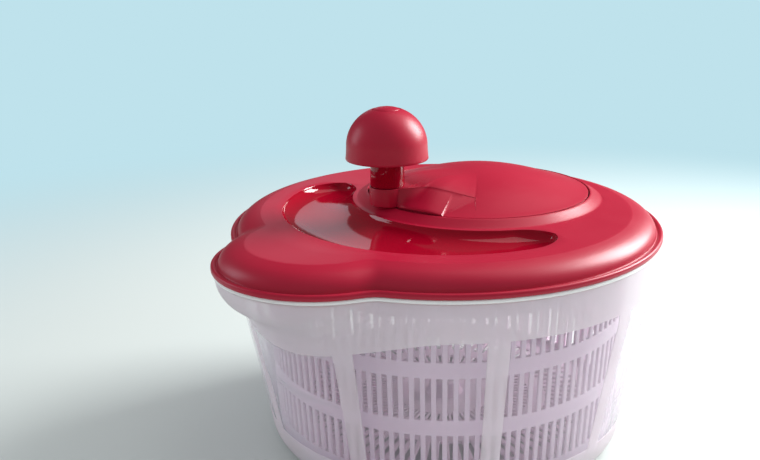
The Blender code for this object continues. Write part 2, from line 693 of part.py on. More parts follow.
def make_drive_plate(finish):
    """Plate that closes the basket and grips it with dogs in the basket's notches."""
    profile = [(8 * MM, 132.6 * MM), (9 * MM, 129.6 * MM), (104 * MM, 129.6 * MM),
               (109.3 * MM, 128.2 * MM), (109.3 * MM, 120 * MM), (107.7 * MM, 120 * MM),
               (107.7 * MM, 126.6 * MM), (103.4 * MM, 127.8 * MM), (9 * MM, 127.8 * MM),
               (8 * MM, 126 * MM), (2.2 * MM, 126 * MM), (2.2 * MM, 132.6 * MM)]
    plate = turned("drive_plate", profile, finish, steps=36)
    dogs = [bar(108.4 * MM, 113.6 * MM, angle, 8 * MM) for angle in dog_angles()]
    boolean(plate, prisms("drive_plate_dogs", dogs, 122.4 * MM, 128 * MM), 'UNION')
    reach = 3.7 * MM
    square = [(-reach, -reach), (reach, -reach), (reach, reach), (-reach, reach)]
    boolean(plate, prisms("drive_plate_socket", [square], 126.7 * MM, 140 * MM), 'DIFFERENCE')
    windows = sector_row(30 * MM, 96 * MM, 12, 0.7, 3)
    boolean(plate, prisms("drive_plate_windows", windows, 120 * MM, 135 * MM), 'DIFFERENCE')
    return plate


# ---------------------------------------------------------------- knob

def knob_profile():
    """Closed section of the hollow knob: a tapered skirt under a round crown, with a well for the cap."""
    skirt_top = KNOB_LOW + 8 * MM
    crown = KNOB_TOP - skirt_top
    outer = []
    for turn in (70, 58, 45, 32, 19, 8):
        swing = math.radians(turn)
        outer.append((23.9 * MM * math.cos(swing), skirt_top + crown * math.sin(swing)))
    outer += [(23.95 * MM, skirt_top), (KNOB_RADIUS, KNOB_LOW)]
    inner = [(KNOB_RADIUS - 2.2 * MM, KNOB_LOW), (21.7 * MM, skirt_top)]
    for turn in (20, 45, 58):
        swing = math.radians(turn)
        inner.append((21.7 * MM * math.cos(swing), skirt_top + (crown - 2.4 * MM) * math.sin(swing)))
    well = [(10.8 * MM, 198 * MM), (10.8 * MM, 192.2 * MM), (4.3 * MM, 192.2 * MM),
            (4.3 * MM, 193.5 * MM), (8.2 * MM, 193.5 * MM), (8.2 * MM, 203.2 * MM)]
    return outer + inner + well


def make_knob(satin, gloss):
    turned("knob_shell", knob_profile(), satin, KNOB_CENTRE, steps=28)
    stem = [(STEM_RADIUS, 191.9 * MM), (STEM_RADIUS, ARM_TOP + FIT_GAP),
            (AXLE_RADIUS + RUNNING_GAP, ARM_TOP + FIT_GAP), (AXLE_RADIUS + RUNNING_GAP, 191.9 * MM)]
    turned("knob_stem", stem, gloss, KNOB_CENTRE)
    cap = [(0, KNOB_TOP), (4 * MM, KNOB_TOP - 0.3 * MM), (7.4 * MM, KNOB_TOP - 1.2 * MM),
           (7.9 * MM, KNOB_TOP - 1.8 * MM), (7.9 * MM, 201 * MM), (6.5 * MM, 201 * MM),
           (6.5 * MM, 202.8 * MM), (0, 202.8 * MM)]
    turned("knob_cap", cap, satin, KNOB_CENTRE, closed=False)


def make_knob_axle(finish):
    profile = [(AXLE_RADIUS, 194.3 * MM), (AXLE_RADIUS, 150.3 * MM), (0, 150.3 * MM)]
    hole = [(0, 184 * MM), (1.8 * MM, 184 * MM), (1.8 * MM, 194.3 * MM)]
    return turned("knob_axle", hole + profile, finish, KNOB_CENTRE, closed=False)


# ---------------------------------------------------------------- assembly

def make_bearings_and_fasteners(steel, acetal):
    make_bush("crank_bush", CRANK_CENTRE, 6.2 * MM, TRAY_FLOOR, 144.3 * MM, acetal)
    make_bush("pinion_bush", (0, 0), 5.2 * MM, TRAY_FLOOR, 139.6 * MM, acetal)
    make_washer("crank_washer", CRANK_CENTRE, 1.9 * MM, 9.5 * MM, 134.1 * MM, 135.6 * MM, steel)
    make_pan_screw("crank_screw", CRANK_CENTRE, 1.5 * MM, 13 * MM, 3.5 * MM, 133.8 * MM, False, steel)
    make_washer("plate_washer", (0, 0), 1.9 * MM, 6.5 * MM, 124.5 * MM, 125.7 * MM, steel)
    make_pan_screw("plate_screw", (0, 0), 1.5 * MM, 12 * MM, 3.5 * MM, 124.2 * MM, False, steel)
    make_washer("knob_washer", KNOB_CENTRE, 1.9 * MM, 7.2 * MM, 194.6 * MM, 195.6 * MM, steel)
    make_pan_screw("knob_screw", KNOB_CENTRE, 1.5 * MM, 11 * MM, 3.5 * MM, 195.9 * MM, True, steel)
    for index, centre in enumerate(tray_screw_centres()):
        make_pan_screw(f"tray_screw_{index + 1}", centre, 1.3 * MM, 5.8 * MM, 2.6 * MM,
                       TRAY_FLOOR - FIT_GAP, False, steel)
    for index, centre in enumerate(ring_screw_centres()):
        make_pan_screw(f"ring_gear_screw_{index + 1}", centre, 1.2 * MM, 9.8 * MM, 2.4 * MM,
                       RING_SCREW_SEAT, False, steel)


def main():
    global PARTS, CUTTERS
    clear_scene()
    PARTS = new_collection(OBJECT_NAME)
    CUTTERS = new_collection("cutters")
    crimson_satin = plastic("crimson_abs_satin", (0.42, 0.02, 0.05), 0.42)
    crimson_gloss = plastic("crimson_abs_gloss", (0.40, 0.005, 0.03), 0.12)
    frosted = plastic("frosted_bowl_plastic", (0.85, 0.84, 0.88), 0.35, alpha=0.45)
    basket_white = plastic("basket_polypropylene", (0.80, 0.70, 0.76), 0.4, alpha=0.9)
    white = plastic("white_polypropylene", (0.83, 0.82, 0.80), 0.45)
    acetal = plastic("natural_acetal", (0.80, 0.79, 0.74), 0.35)
    steel = plastic("stainless_steel", (0.62, 0.61, 0.60), 0.3, metallic=1.0)

    make_bowl(frosted)
    make_basket(basket_white)
    make_basket_bush(acetal)
    make_lid_shell(crimson_satin)
    make_gear_tray(white)
    make_crank_disc(crimson_satin)
    make_ring_gear(acetal)
    make_drive_pinion(acetal)
    make_drive_plate(white)
    make_knob(crimson_satin, crimson_gloss)
    make_knob_axle(steel)
    make_bearings_and_fasteners(steel, acetal)


main()
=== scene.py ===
"""Fine surfaces and finishes of a crank-driven salad spinner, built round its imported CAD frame.

The lid, crank, knob, bowl and basket get finely divided moulded surfaces. The gear train, bearings and
fasteners keep their CAD solids and get finishes. Lengths are in metres; MM turns millimetres to metres.
"""
import json
import logging
import math
from dataclasses import dataclass, field
from enum import Enum, IntEnum

import bmesh
import bpy
import numpy as np
from mathutils import Matrix, Vector


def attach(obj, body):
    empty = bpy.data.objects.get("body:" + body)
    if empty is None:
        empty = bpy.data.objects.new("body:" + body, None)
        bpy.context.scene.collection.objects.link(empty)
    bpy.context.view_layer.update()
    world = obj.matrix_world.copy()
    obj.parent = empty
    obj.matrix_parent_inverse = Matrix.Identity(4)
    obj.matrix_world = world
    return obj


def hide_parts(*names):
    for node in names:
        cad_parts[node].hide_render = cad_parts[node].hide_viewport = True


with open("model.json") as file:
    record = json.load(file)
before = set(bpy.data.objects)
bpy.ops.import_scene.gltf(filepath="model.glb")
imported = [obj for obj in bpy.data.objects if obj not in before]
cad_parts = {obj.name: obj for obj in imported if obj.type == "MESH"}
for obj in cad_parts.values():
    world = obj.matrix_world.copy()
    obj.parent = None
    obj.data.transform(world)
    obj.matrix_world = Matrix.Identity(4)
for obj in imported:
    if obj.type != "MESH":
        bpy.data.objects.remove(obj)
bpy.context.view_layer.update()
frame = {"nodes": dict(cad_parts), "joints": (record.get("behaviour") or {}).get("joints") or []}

MM = 0.001
LOG = logging.getLogger("salad_spinner")
FRONT = -math.pi / 2             # the pouring lobe's direction in plan
FULL_TURN = 2 * math.pi

Point = tuple[float, float]
Path = list[Point]


# ------------------------------------------------------------------ helpers

def joint_position(name: str) -> Vector:
    """Position of a named joint.

    Args:
        name: the joint's name in the record.

    Returns:
        The joint's point in the frame, in metres.
    """
    found = next(joint for joint in frame["joints"] if joint["name"] == name)
    return Vector(found["pos_m"])


def linear(colour: str) -> tuple[float, float, float]:
    """Turn an sRGB hex colour to linear light.

    Args:
        colour: six hex digits after a hash sign.

    Returns:
        Linear red, green and blue.
    """
    values = [int(colour[start:start + 2], 16) / 255 for start in (1, 3, 5)]
    return tuple(value / 12.92 if value <= 0.04045 else ((value + 0.055) / 1.055) ** 2.4
                 for value in values)


def add_node(tree: bpy.types.NodeTree, kind: str, settings: dict | None = None,
             inputs: dict | None = None) -> bpy.types.Node:
    """Add a node with its settings and its inputs.

    Args:
        tree: the tree to add it to.
        kind: the node's type identifier.
        settings: attribute values by attribute name.
        inputs: a value or a linked output socket for each input, by name or index.

    Returns:
        The new node.
    """
    node = tree.nodes.new(kind)
    for name, value in (settings or {}).items():
        setattr(node, name, value)
    for name, value in (inputs or {}).items():
        if isinstance(value, bpy.types.NodeSocket):
            tree.links.new(value, node.inputs[name])
        else:
            node.inputs[name].default_value = value
    return node


def smooth_run(points: Path, steps: int) -> Path:
    """Run a Catmull-Rom curve through points.

    Args:
        points: the points that it passes through.
        steps: divisions between two points.

    Returns:
        The curve's points, ends included.
    """
    padded = [points[0], *points, points[-1]]
    curve = []
    for index in range(1, len(padded) - 2):
        before, start, end, after = (np.array(padded[index + shift]) for shift in (-1, 0, 1, 2))
        for step in range(steps):
            share = step / steps
            value = 0.5 * (2 * start + (end - before) * share
                           + (2 * before - 5 * start + 4 * end - after) * share ** 2
                           + (3 * start - before - 3 * end + after) * share ** 3)
            curve.append(tuple(value))
    curve.append(points[-1])
    return curve


def interpolate(value: float, stations: tuple[Point, ...]) -> float:
    """Read a curve given by stations, with eased slopes between them.

    Args:
        value: where to read it.
        stations: (position, value) pairs in rising order.

    Returns:
        The value there.
    """
    positions = [station[0] for station in stations]
    values = [station[1] for station in stations]
    slopes = np.gradient(values, positions)
    value = min(max(value, positions[0]), positions[-1])
    index = min(int(np.searchsorted(positions, value, side="right")) - 1, len(positions) - 2)
    span = positions[index + 1] - positions[index]
    share = (value - positions[index]) / span
    square, cube = share ** 2, share ** 3
    return ((2 * cube - 3 * square + 1) * values[index] + (cube - 2 * square + share) * span * slopes[index]
            + (3 * square - 2 * cube) * values[index + 1] + (cube - square) * span * slopes[index + 1])


def loft(name: str, rings: list[np.ndarray], poles: tuple | None = None,
         ring_slots: list[int] | None = None, sharp_degrees: float = 60) -> bpy.types.Object:
    """Close a body through rings of equal length.

    Args:
        name: the object's name.
        rings: arrays of points; each ring is closed on itself.
        poles: points that close the first and the last ring, or None to join those two rings.
        ring_slots: material index of the faces after each ring.
        sharp_degrees: faces meet in a sharp edge above this angle.

    Returns:
        The new object.
    """
    count = len(rings[0])
    vertices = np.concatenate(rings)
    joined = len(rings) if poles is None else len(rings) - 1
    faces, slots = [], []
    for ring in range(joined):
        low, high = ring * count, (ring + 1) % len(rings) * count
        for index in range(count):
            after = (index + 1) % count
            faces.append((low + index, low + after, high + after, high + index))
            slots.append(ring_slots[ring] if ring_slots else 0)
    if poles is not None:
        vertices = np.concatenate([vertices, np.array(poles)])
        for tip, ring in ((len(rings) * count, 0), (len(rings) * count + 1, len(rings) - 1)):
            for index in range(count):
                after = (index + 1) % count
                faces.append((tip, ring * count + after, ring * count + index))
                slots.append(ring_slots[min(ring, joined - 1)] if ring_slots else 0)
    mesh = bpy.data.meshes.new(name)
    mesh.from_pydata(vertices.tolist(), [], faces)
    mesh.polygons.foreach_set("material_index", slots)
    return finish_mesh(name, mesh, sharp_degrees)


def finish_mesh(name: str, mesh: bpy.types.Mesh, sharp_degrees: float) -> bpy.types.Object:
    """Turn faces outwards, shade a mesh and link it.

    Args:
        name: the object's name.
        mesh: its mesh, in the frame's own coordinates.
        sharp_degrees: faces meet in a sharp edge above this angle.

    Returns:
        The new object.
    """
    build = bmesh.new()
    build.from_mesh(mesh)
    bmesh.ops.remove_doubles(build, verts=build.verts, dist=1e-6)
    bmesh.ops.dissolve_degenerate(build, edges=build.edges, dist=1e-7)
    bmesh.ops.recalc_face_normals(build, faces=build.faces)
    build.to_mesh(mesh)
    build.free()
    mesh.shade_smooth()
    mesh.set_sharp_from_angle(angle=math.radians(sharp_degrees))
    piece = bpy.data.objects.new(name, mesh)
    bpy.context.scene.collection.objects.link(piece)
    return piece


def turned(name: str, profile: Path, centre: Vector, steps: int, closed: bool = True,
           sharp_degrees: float = 40) -> bpy.types.Object:
    """Turn a profile round an upright axis.

    Args:
        name: the object's name.
        profile: (radius, height) points; an open profile starts and ends on the axis.
        centre: a point on the axis.
        steps: divisions round the axis.
        closed: whether the profile is a loop.
        sharp_degrees: faces meet in a sharp edge above this angle.

    Returns:
        The new object.
    """
    angles = np.linspace(0, FULL_TURN, steps, endpoint=False)
    plan = np.stack([np.cos(angles), np.sin(angles)], axis=1)

    def ring(radius: float, height: float) -> np.ndarray:
        """One ring of the turned surface."""
        flat = plan * radius + np.array((centre.x, centre.y))
        return np.column_stack([flat, np.full(steps, height)])

    if closed:
        return loft(name, [ring(*point) for point in profile], sharp_degrees=sharp_degrees)
    tips = tuple((centre.x, centre.y, height) for _, height in (profile[0], profile[-1]))
    return loft(name, [ring(*point) for point in profile[1:-1]], poles=tips, sharp_degrees=sharp_degrees)


def settle(piece: bpy.types.Object, body: str, stands_for: tuple[str, ...]) -> None:
    """Fix a finished piece to a body and hide the CAD nodes that it replaces.

    Args:
        piece: the finished object.
        body: the CAD body that it moves with.
        stands_for: the CAD nodes that it replaces.
    """
    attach(piece, body)
    if stands_for:
        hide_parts(*stands_for)
    LOG.info("%s rides on %s with %d faces", piece.name, body, len(piece.data.polygons))


# ------------------------------------------------------------------ finishes

class Clarity(Enum):
    """How much of the light a plastic bends and scatters on its way through."""

    NONE = 0.0
    FROSTED = 0.30


@dataclass(frozen=True)
class MouldedPlastic:
    """Injection-moulded plastic: an even colour whose sheen comes from the mould's own surface.

    The mould's spark-eroded grain is about a tenth of a millimetre; it is drawn at grain_mm so that it
    shows, and handling leaves broad patches that are a little shinier.
    """

    name: str
    colour: str
    roughness: float
    smudge: float = 0.06
    grain_mm: float = 0.5
    grain_depth: float = 0.05
    ior: float = 1.5
    clarity: Clarity = Clarity.NONE
    subsurface: float = 0.0
    see_through: float = 0.0

    def build(self) -> bpy.types.Material:
        """Make the material.

        Returns:
            A material with one Principled shader.
        """
        finish = bpy.data.materials.new(self.name)
        finish.use_nodes = True
        tree = finish.node_tree
        tree.nodes.clear()
        place = add_node(tree, "ShaderNodeTexCoord").outputs["Object"]
        patches = add_node(tree, "ShaderNodeTexNoise", inputs={"Vector": place, "Scale": 28.0, "Detail": 3.0})
        spread = add_node(tree, "ShaderNodeMapRange", inputs={
            "Value": patches.outputs["Fac"], "From Min": 0.35, "From Max": 0.65,
            "To Min": self.roughness - self.smudge / 2, "To Max": self.roughness + self.smudge / 2})
        tint = add_node(tree, "ShaderNodeMix", {"data_type": "RGBA"}, {
            0: patches.outputs["Fac"], 6: (*[c * 0.96 for c in linear(self.colour)], 1.0),
            7: (*[min(c * 1.04, 1.0) for c in linear(self.colour)], 1.0)})
        grain = add_node(tree, "ShaderNodeTexNoise", inputs={
            "Vector": place, "Scale": 1 / (self.grain_mm * MM), "Detail": 1.0})
        bump = add_node(tree, "ShaderNodeBump", inputs={
            "Strength": self.grain_depth, "Distance": self.grain_mm * MM * 0.3,
            "Height": grain.outputs["Fac"]})
        shader = add_node(tree, "ShaderNodeBsdfPrincipled", inputs={
            "Base Color": tint.outputs[2], "Roughness": spread.outputs["Result"],
            "IOR": self.ior, "Normal": bump.outputs["Normal"],
            "Transmission Weight": self.clarity.value, "Subsurface Weight": self.subsurface,
            "Subsurface Radius": (1.0, 0.9, 0.9), "Subsurface Scale": 0.004})
        if self.see_through:
            rim = add_node(tree, "ShaderNodeLayerWeight", inputs={"Blend": 0.18})
            cover = add_node(tree, "ShaderNodeMapRange", inputs={
                "Value": rim.outputs["Facing"], "From Min": 0.15, "From Max": 1.0,
                "To Min": 1.0 - self.see_through, "To Max": 1.0})
            tree.links.new(cover.outputs["Result"], shader.inputs["Alpha"])
        output = add_node(tree, "ShaderNodeOutputMaterial")
        tree.links.new(shader.outputs["BSDF"], output.inputs["Surface"])
        return finish


@dataclass(frozen=True)
class TurnedSteel:
    """Stainless steel, turned on a lathe: fine rings that spread its highlights."""

    name: str
    colour: str = "#c9c7c4"
    roughness: float = 0.28
    ring_mm: float = 0.35

    def build(self) -> bpy.types.Material:
        """Make the material.

        Returns:
            A metallic material with a fine lathe pattern along its height.
        """
        finish = bpy.data.materials.new(self.name)
        finish.use_nodes = True
        tree = finish.node_tree
        tree.nodes.clear()
        place = add_node(tree, "ShaderNodeTexCoord").outputs["Object"]
        rings = add_node(tree, "ShaderNodeTexWave", {"bands_direction": "Z"}, {
            "Vector": place, "Scale": 1 / (self.ring_mm * MM) / 20, "Distortion": 0.4})
        bump = add_node(tree, "ShaderNodeBump", inputs={
            "Strength": 0.1, "Distance": 0.02 * MM, "Height": rings.outputs["Fac"]})
        shader = add_node(tree, "ShaderNodeBsdfPrincipled", inputs={
            "Base Color": (*linear(self.colour), 1.0), "Metallic": 1.0, "Roughness": self.roughness,
            "Normal": bump.outputs["Normal"]})
        output = add_node(tree, "ShaderNodeOutputMaterial")
        tree.links.new(shader.outputs["BSDF"], output.inputs["Surface"])
        return finish


# Crimson ABS from a spark-eroded mould: a soft satin haze over a deep colour
SATIN_ABS = MouldedPlastic("satin_moulded_abs_crimson", "#b00f32", 0.37, smudge=0.05, grain_depth=0.10,
                           ior=1.45)
# The same ABS from a polished mould: the pool and the knob's stem mirror the room; its base colour is painted
# darker than the satin crimson, painted shade that deepens the pool and the stem
POLISHED_ABS_PAINTED_DARKER = MouldedPlastic("polished_abs_crimson_painted_shade", "#980520", 0.07, smudge=0.03,
                              grain_depth=0.0, ior=1.5)
# SAN, clear and faintly lilac, polished inside and out: edges whiten, faces nearly vanish
CLEAR_SAN = MouldedPlastic("clear_san_bowl_window", "#f4f0f8", 0.05, smudge=0.03, grain_depth=0.0,
                           ior=1.5, see_through=0.90)
# The same SAN with an etched face, which veils and blurs what is behind it
ETCHED_SAN = MouldedPlastic("etched_san_bowl_wall", "#fdf1f6", 0.5, smudge=0.04, grain_depth=0.04,
                            ior=1.14, clarity=Clarity.FROSTED, see_through=0.24, subsurface=0.3)
# The bowl's bead is painted opaque white: a painted highlight that stands in for the light gathered along the
# clear wall's top edge
BEAD_PAINTED_HIGHLIGHT_SAN = MouldedPlastic("san_bead_painted_white_highlight", "#ffffff", 0.3, smudge=0.02, grain_depth=0.0,
                          subsurface=0.6)
# Natural polypropylene with a lilac cast, thin enough to glow
BASKET_PP = MouldedPlastic("translucent_polypropylene_basket", "#ecd3e6", 0.46, smudge=0.05,
                           grain_depth=0.02, subsurface=0.5)
WHITE_PP = MouldedPlastic("natural_polypropylene", "#e6e3e0", 0.42, subsurface=0.2)
ACETAL = MouldedPlastic("natural_acetal", "#e8e4d6", 0.33, grain_depth=0.03)
STEEL = TurnedSteel("turned_stainless_steel")


@dataclass
class Palette:
    """Every material, made once."""

    satin: bpy.types.Material = field(default_factory=SATIN_ABS.build)
    # The polished crimson is a darker copy of the satin crimson: painted shade
    polished: bpy.types.Material = field(default_factory=POLISHED_ABS_PAINTED_DARKER.build)
    clear: bpy.types.Material = field(default_factory=CLEAR_SAN.build)
    etched: bpy.types.Material = field(default_factory=ETCHED_SAN.build)
    # The bead's material is a painted white highlight, not the clear plastic's own colour
    bead: bpy.types.Material = field(default_factory=BEAD_PAINTED_HIGHLIGHT_SAN.build)
    basket: bpy.types.Material = field(default_factory=BASKET_PP.build)
    white: bpy.types.Material = field(default_factory=WHITE_PP.build)
    acetal: bpy.types.Material = field(default_factory=ACETAL.build)
    steel: bpy.types.Material = field(default_factory=STEEL.build)


# ------------------------------------------------------------------ shared outline

@dataclass(frozen=True)
class LobedOutline:
    """Outline in plan of the lid and the bowl: a main circle and a pouring lobe, blended."""

    main_radius: float = 130 * MM
    lobe_offset: float = 97.6 * MM
    lobe_radius: float = 60.7 * MM
    fillet: float = 5.5 * MM

    def radius(self, angle: float, main: float, lobe: float, offset: float | None = None,
               fillet: float | None = None) -> float:
        """Distance from the main axis to an outline.

        Args:
            angle: direction in plan.
            main: radius of the main circle.
            lobe: radius of the lobe's circle.
            offset: how far the lobe's centre is from the main axis.
            fillet: how far the two circles blend into each other.

        Returns:
            The distance, with the two circles blended where they meet.
        """
        offset = self.lobe_offset if offset is None else offset
        fillet = self.fillet if fillet is None else fillet
        turn = math.remainder(angle - FRONT, FULL_TURN)
        across = offset * math.sin(turn)
        if abs(turn) > math.pi / 2 or abs(across) >= lobe:
            return main
        reach = offset * math.cos(turn) + math.sqrt(lobe ** 2 - across ** 2)
        overlap = max(fillet - abs(main - reach), 0.0) / fillet
        return max(main, reach) + overlap * overlap * fillet / 4

    def inset_from(self, centre: Vector, angle: float, inset: float) -> float:
        """Distance from an inner point to the outline moved inwards, found by halving."""
        low, high = 0.0, 2 * self.main_radius
        for _ in range(36):
            middle = (low + high) / 2
            x, y = centre.x + middle * math.cos(angle), centre.y + middle * math.sin(angle)
            limit = self.radius(math.atan2(y, x), self.main_radius - inset, self.lobe_radius - inset)
            if math.hypot(x, y) < limit:
                low = middle
            else:
                high = middle
        return (low + high) / 2


OUTLINE = LobedOutline()


# ------------------------------------------------------------------ lid

@dataclass
class LidCover:
    """The lid's shell: lip, rounded shoulder, satin plateau, polished pool and the crank's band."""

    axis: Vector = field(default_factory=lambda: joint_position("crank_spin"))
    columns: int = 480
    flange: float = 130 * MM
    plateau: float = 12.7 * MM
    wall: float = 2.2 * MM
    hole_radius: float = 69.7 * MM
    band_radius: float = 77.6 * MM
    band_top: float = 16.8 * MM
    pool_inner: float = 79.8 * MM
    pool_outer: float = 99 * MM
    pool_depth: float = 6.6 * MM
    pool_half_angle: float = math.radians(66.5)
    pool_end: float = math.radians(12)
    pool_stations: int = 26
    # Profiles as (how far inside the outline, height above the flange), in millimetres
    plateau_edge: tuple = ((20, 12.7), (18.6, 12.69))
    shoulder: tuple = ((18.0, 12.62), (17.3, 12.45), (14.2, 11.65), (10.8, 10.45), (7.9, 8.8),
                       (5.8, 6.9), (4.5, 4.8), (3.95, 3.0), (3.7, 2.45))
    lip: tuple = ((3.2, 2.25), (2.8, 2.5), (2.4, 2.95), (1.2, 3.1), (0.5, 2.85), (0.1, 2.3), (0, 1.5),
                  (0, 0.6), (0.25, 0.1), (0.6, 0))
    skirt: tuple = ((5.2, 0), (5.4, -0.3), (5.4, -4.6), (5.7, -5), (6.9, -5), (7.2, -4.6), (7.4, 1.6),
                    (8.4, 6), (11.5, 9), (18, 10.5))

    def pool_share(self, angle: float) -> float:
        """Share of the pool's full width in a direction, 1 along it and 0 past its ends."""
        into_end = abs(math.remainder(angle - FRONT, FULL_TURN)) - (self.pool_half_angle - self.pool_end)
        if into_end <= 0:
            return 1.0
        return math.sqrt(max(1 - (into_end / self.pool_end) ** 2, 0.0))

    def pool_edges(self, angle: float) -> Point:
        """Inner and outer radius of the pool from the crank axis."""
        forward = self.axis.y * math.sin(angle)
        outer = -forward + math.sqrt(forward ** 2 + self.pool_outer ** 2 - self.axis.y ** 2)
        middle, half = (self.pool_inner + outer) / 2, (outer - self.pool_inner) / 2
        half *= max(self.pool_share(angle), 0.02)
        return middle - half, middle + half

    def pool_floor(self, across: float) -> float:
        """Depth of the pool as a share of its full depth, across its width."""
        from_middle = abs(2 * across - 1)
        return (1 - from_middle ** 2.6) ** 0.5

    def section(self, angle: float) -> tuple[Path, list[int]]:
        """Closed section of the shell in one direction from the crank axis.

        Args:
            angle: the direction.

        Returns:
            (radius, height) points above the flange, and the material index after each point.
        """
        inner, outer = self.pool_edges(angle)
        share = self.pool_share(angle)
        depth = self.pool_depth * math.sqrt(share)
        level = self.plateau
        band = [(self.hole_radius, self.band_top - 1.2 * MM), (self.hole_radius, self.band_top - 0.3 * MM),
                (self.hole_radius + 0.3 * MM, self.band_top)]
        slope = [(self.hole_radius + 0.9 * MM, self.band_top - 0.15 * MM), (73.8 * MM, 14.65 * MM),
                 (76.6 * MM, level + 0.32 * MM), (self.band_radius, level + 0.02 * MM)]
        band += smooth_run(slope, 3)
        top = band + [(min(78.6 * MM, inner - 0.5 * MM), level), (inner - 0.25 * MM, level)]
        slots = [0] * len(top)
        width = outer - inner
        for station in range(self.pool_stations + 1):
            across = 0.5 - 0.5 * math.cos(math.pi * station / self.pool_stations)
            top.append((inner + width * across, level - 0.12 * MM * share - depth * self.pool_floor(across)))
            slots.append(1 if share > 0 and station < self.pool_stations else 0)
        edge = self.rim_edge(angle)
        start = edge[0][0]
        top += [(outer + 0.25 * MM, level), (outer + (start - outer) * 0.5, level)]
        under = self.underside(angle, inner, outer, depth)
        path = top + edge + under
        return path, slots + [0] * (len(path) - len(slots))

    def rim_edge(self, angle: float) -> Path:
        """The shoulder, the lip and the locating skirt, from the plateau round to the underside."""
        profile = list(self.plateau_edge) + smooth_run(list(self.shoulder), 3)
        profile += list(self.lip) + list(self.skirt)
        return [(OUTLINE.inset_from(self.axis, angle, inset * MM), lift * MM) for inset, lift in profile]

    def underside(self, angle: float, inner: float, outer: float, depth: float) -> Path:
        """The shell's underside, below the pool and back to the hole."""
        level = self.plateau - self.wall
        share = self.pool_share(angle)
        wall = 1.7 * MM * share
        below = [(outer + wall, level)]
        width = outer - inner
        for across in (0.94, 0.8, 0.5, 0.2, 0.06):
            below.append((inner + width * across, level - depth * self.pool_floor(across)))
        return below + [(inner - min(wall, 1.4 * MM), level), (77.3 * MM, level),
                        (self.hole_radius, self.band_top - 2.4 * MM)]

    def build(self, palette: Palette) -> None:
        """Make the shell and dress it.

        Args:
            palette: the finished materials.
        """
        angles = np.linspace(0, FULL_TURN, self.columns, endpoint=False) + FRONT
        sections = [self.section(float(angle)) for angle in angles]
        stations = len(sections[0][0])
        rings = []
        for station in range(stations):
            radii = np.array([path[station][0] for path, _ in sections])
            heights = np.array([path[station][1] for path, _ in sections]) + self.flange
            rings.append(np.column_stack([self.axis.x + radii * np.cos(angles),
                                          self.axis.y + radii * np.sin(angles), heights]))
        slots = [max(column[station] for _, column in sections) for station in range(stations)]
        shell = loft("lid_cover", rings, ring_slots=slots, sharp_degrees=75)
        shell.data.materials.append(palette.satin)
        # the pool's darker polished crimson carries painted shade
        shell.data.materials.append(palette.polished)
        self.limit_polish(shell)
        settle(shell, "lid", ("lid_shell",))

    def limit_polish(self, shell: bpy.types.Object) -> None:
        """Keep the polished finish to the pool itself, not to the plateau past its ends."""
        for face in shell.data.polygons:
            if face.material_index == 1 and face.center.z > self.flange + self.plateau - 0.05 * MM:
                face.material_index = 0


# ------------------------------------------------------------------ crank

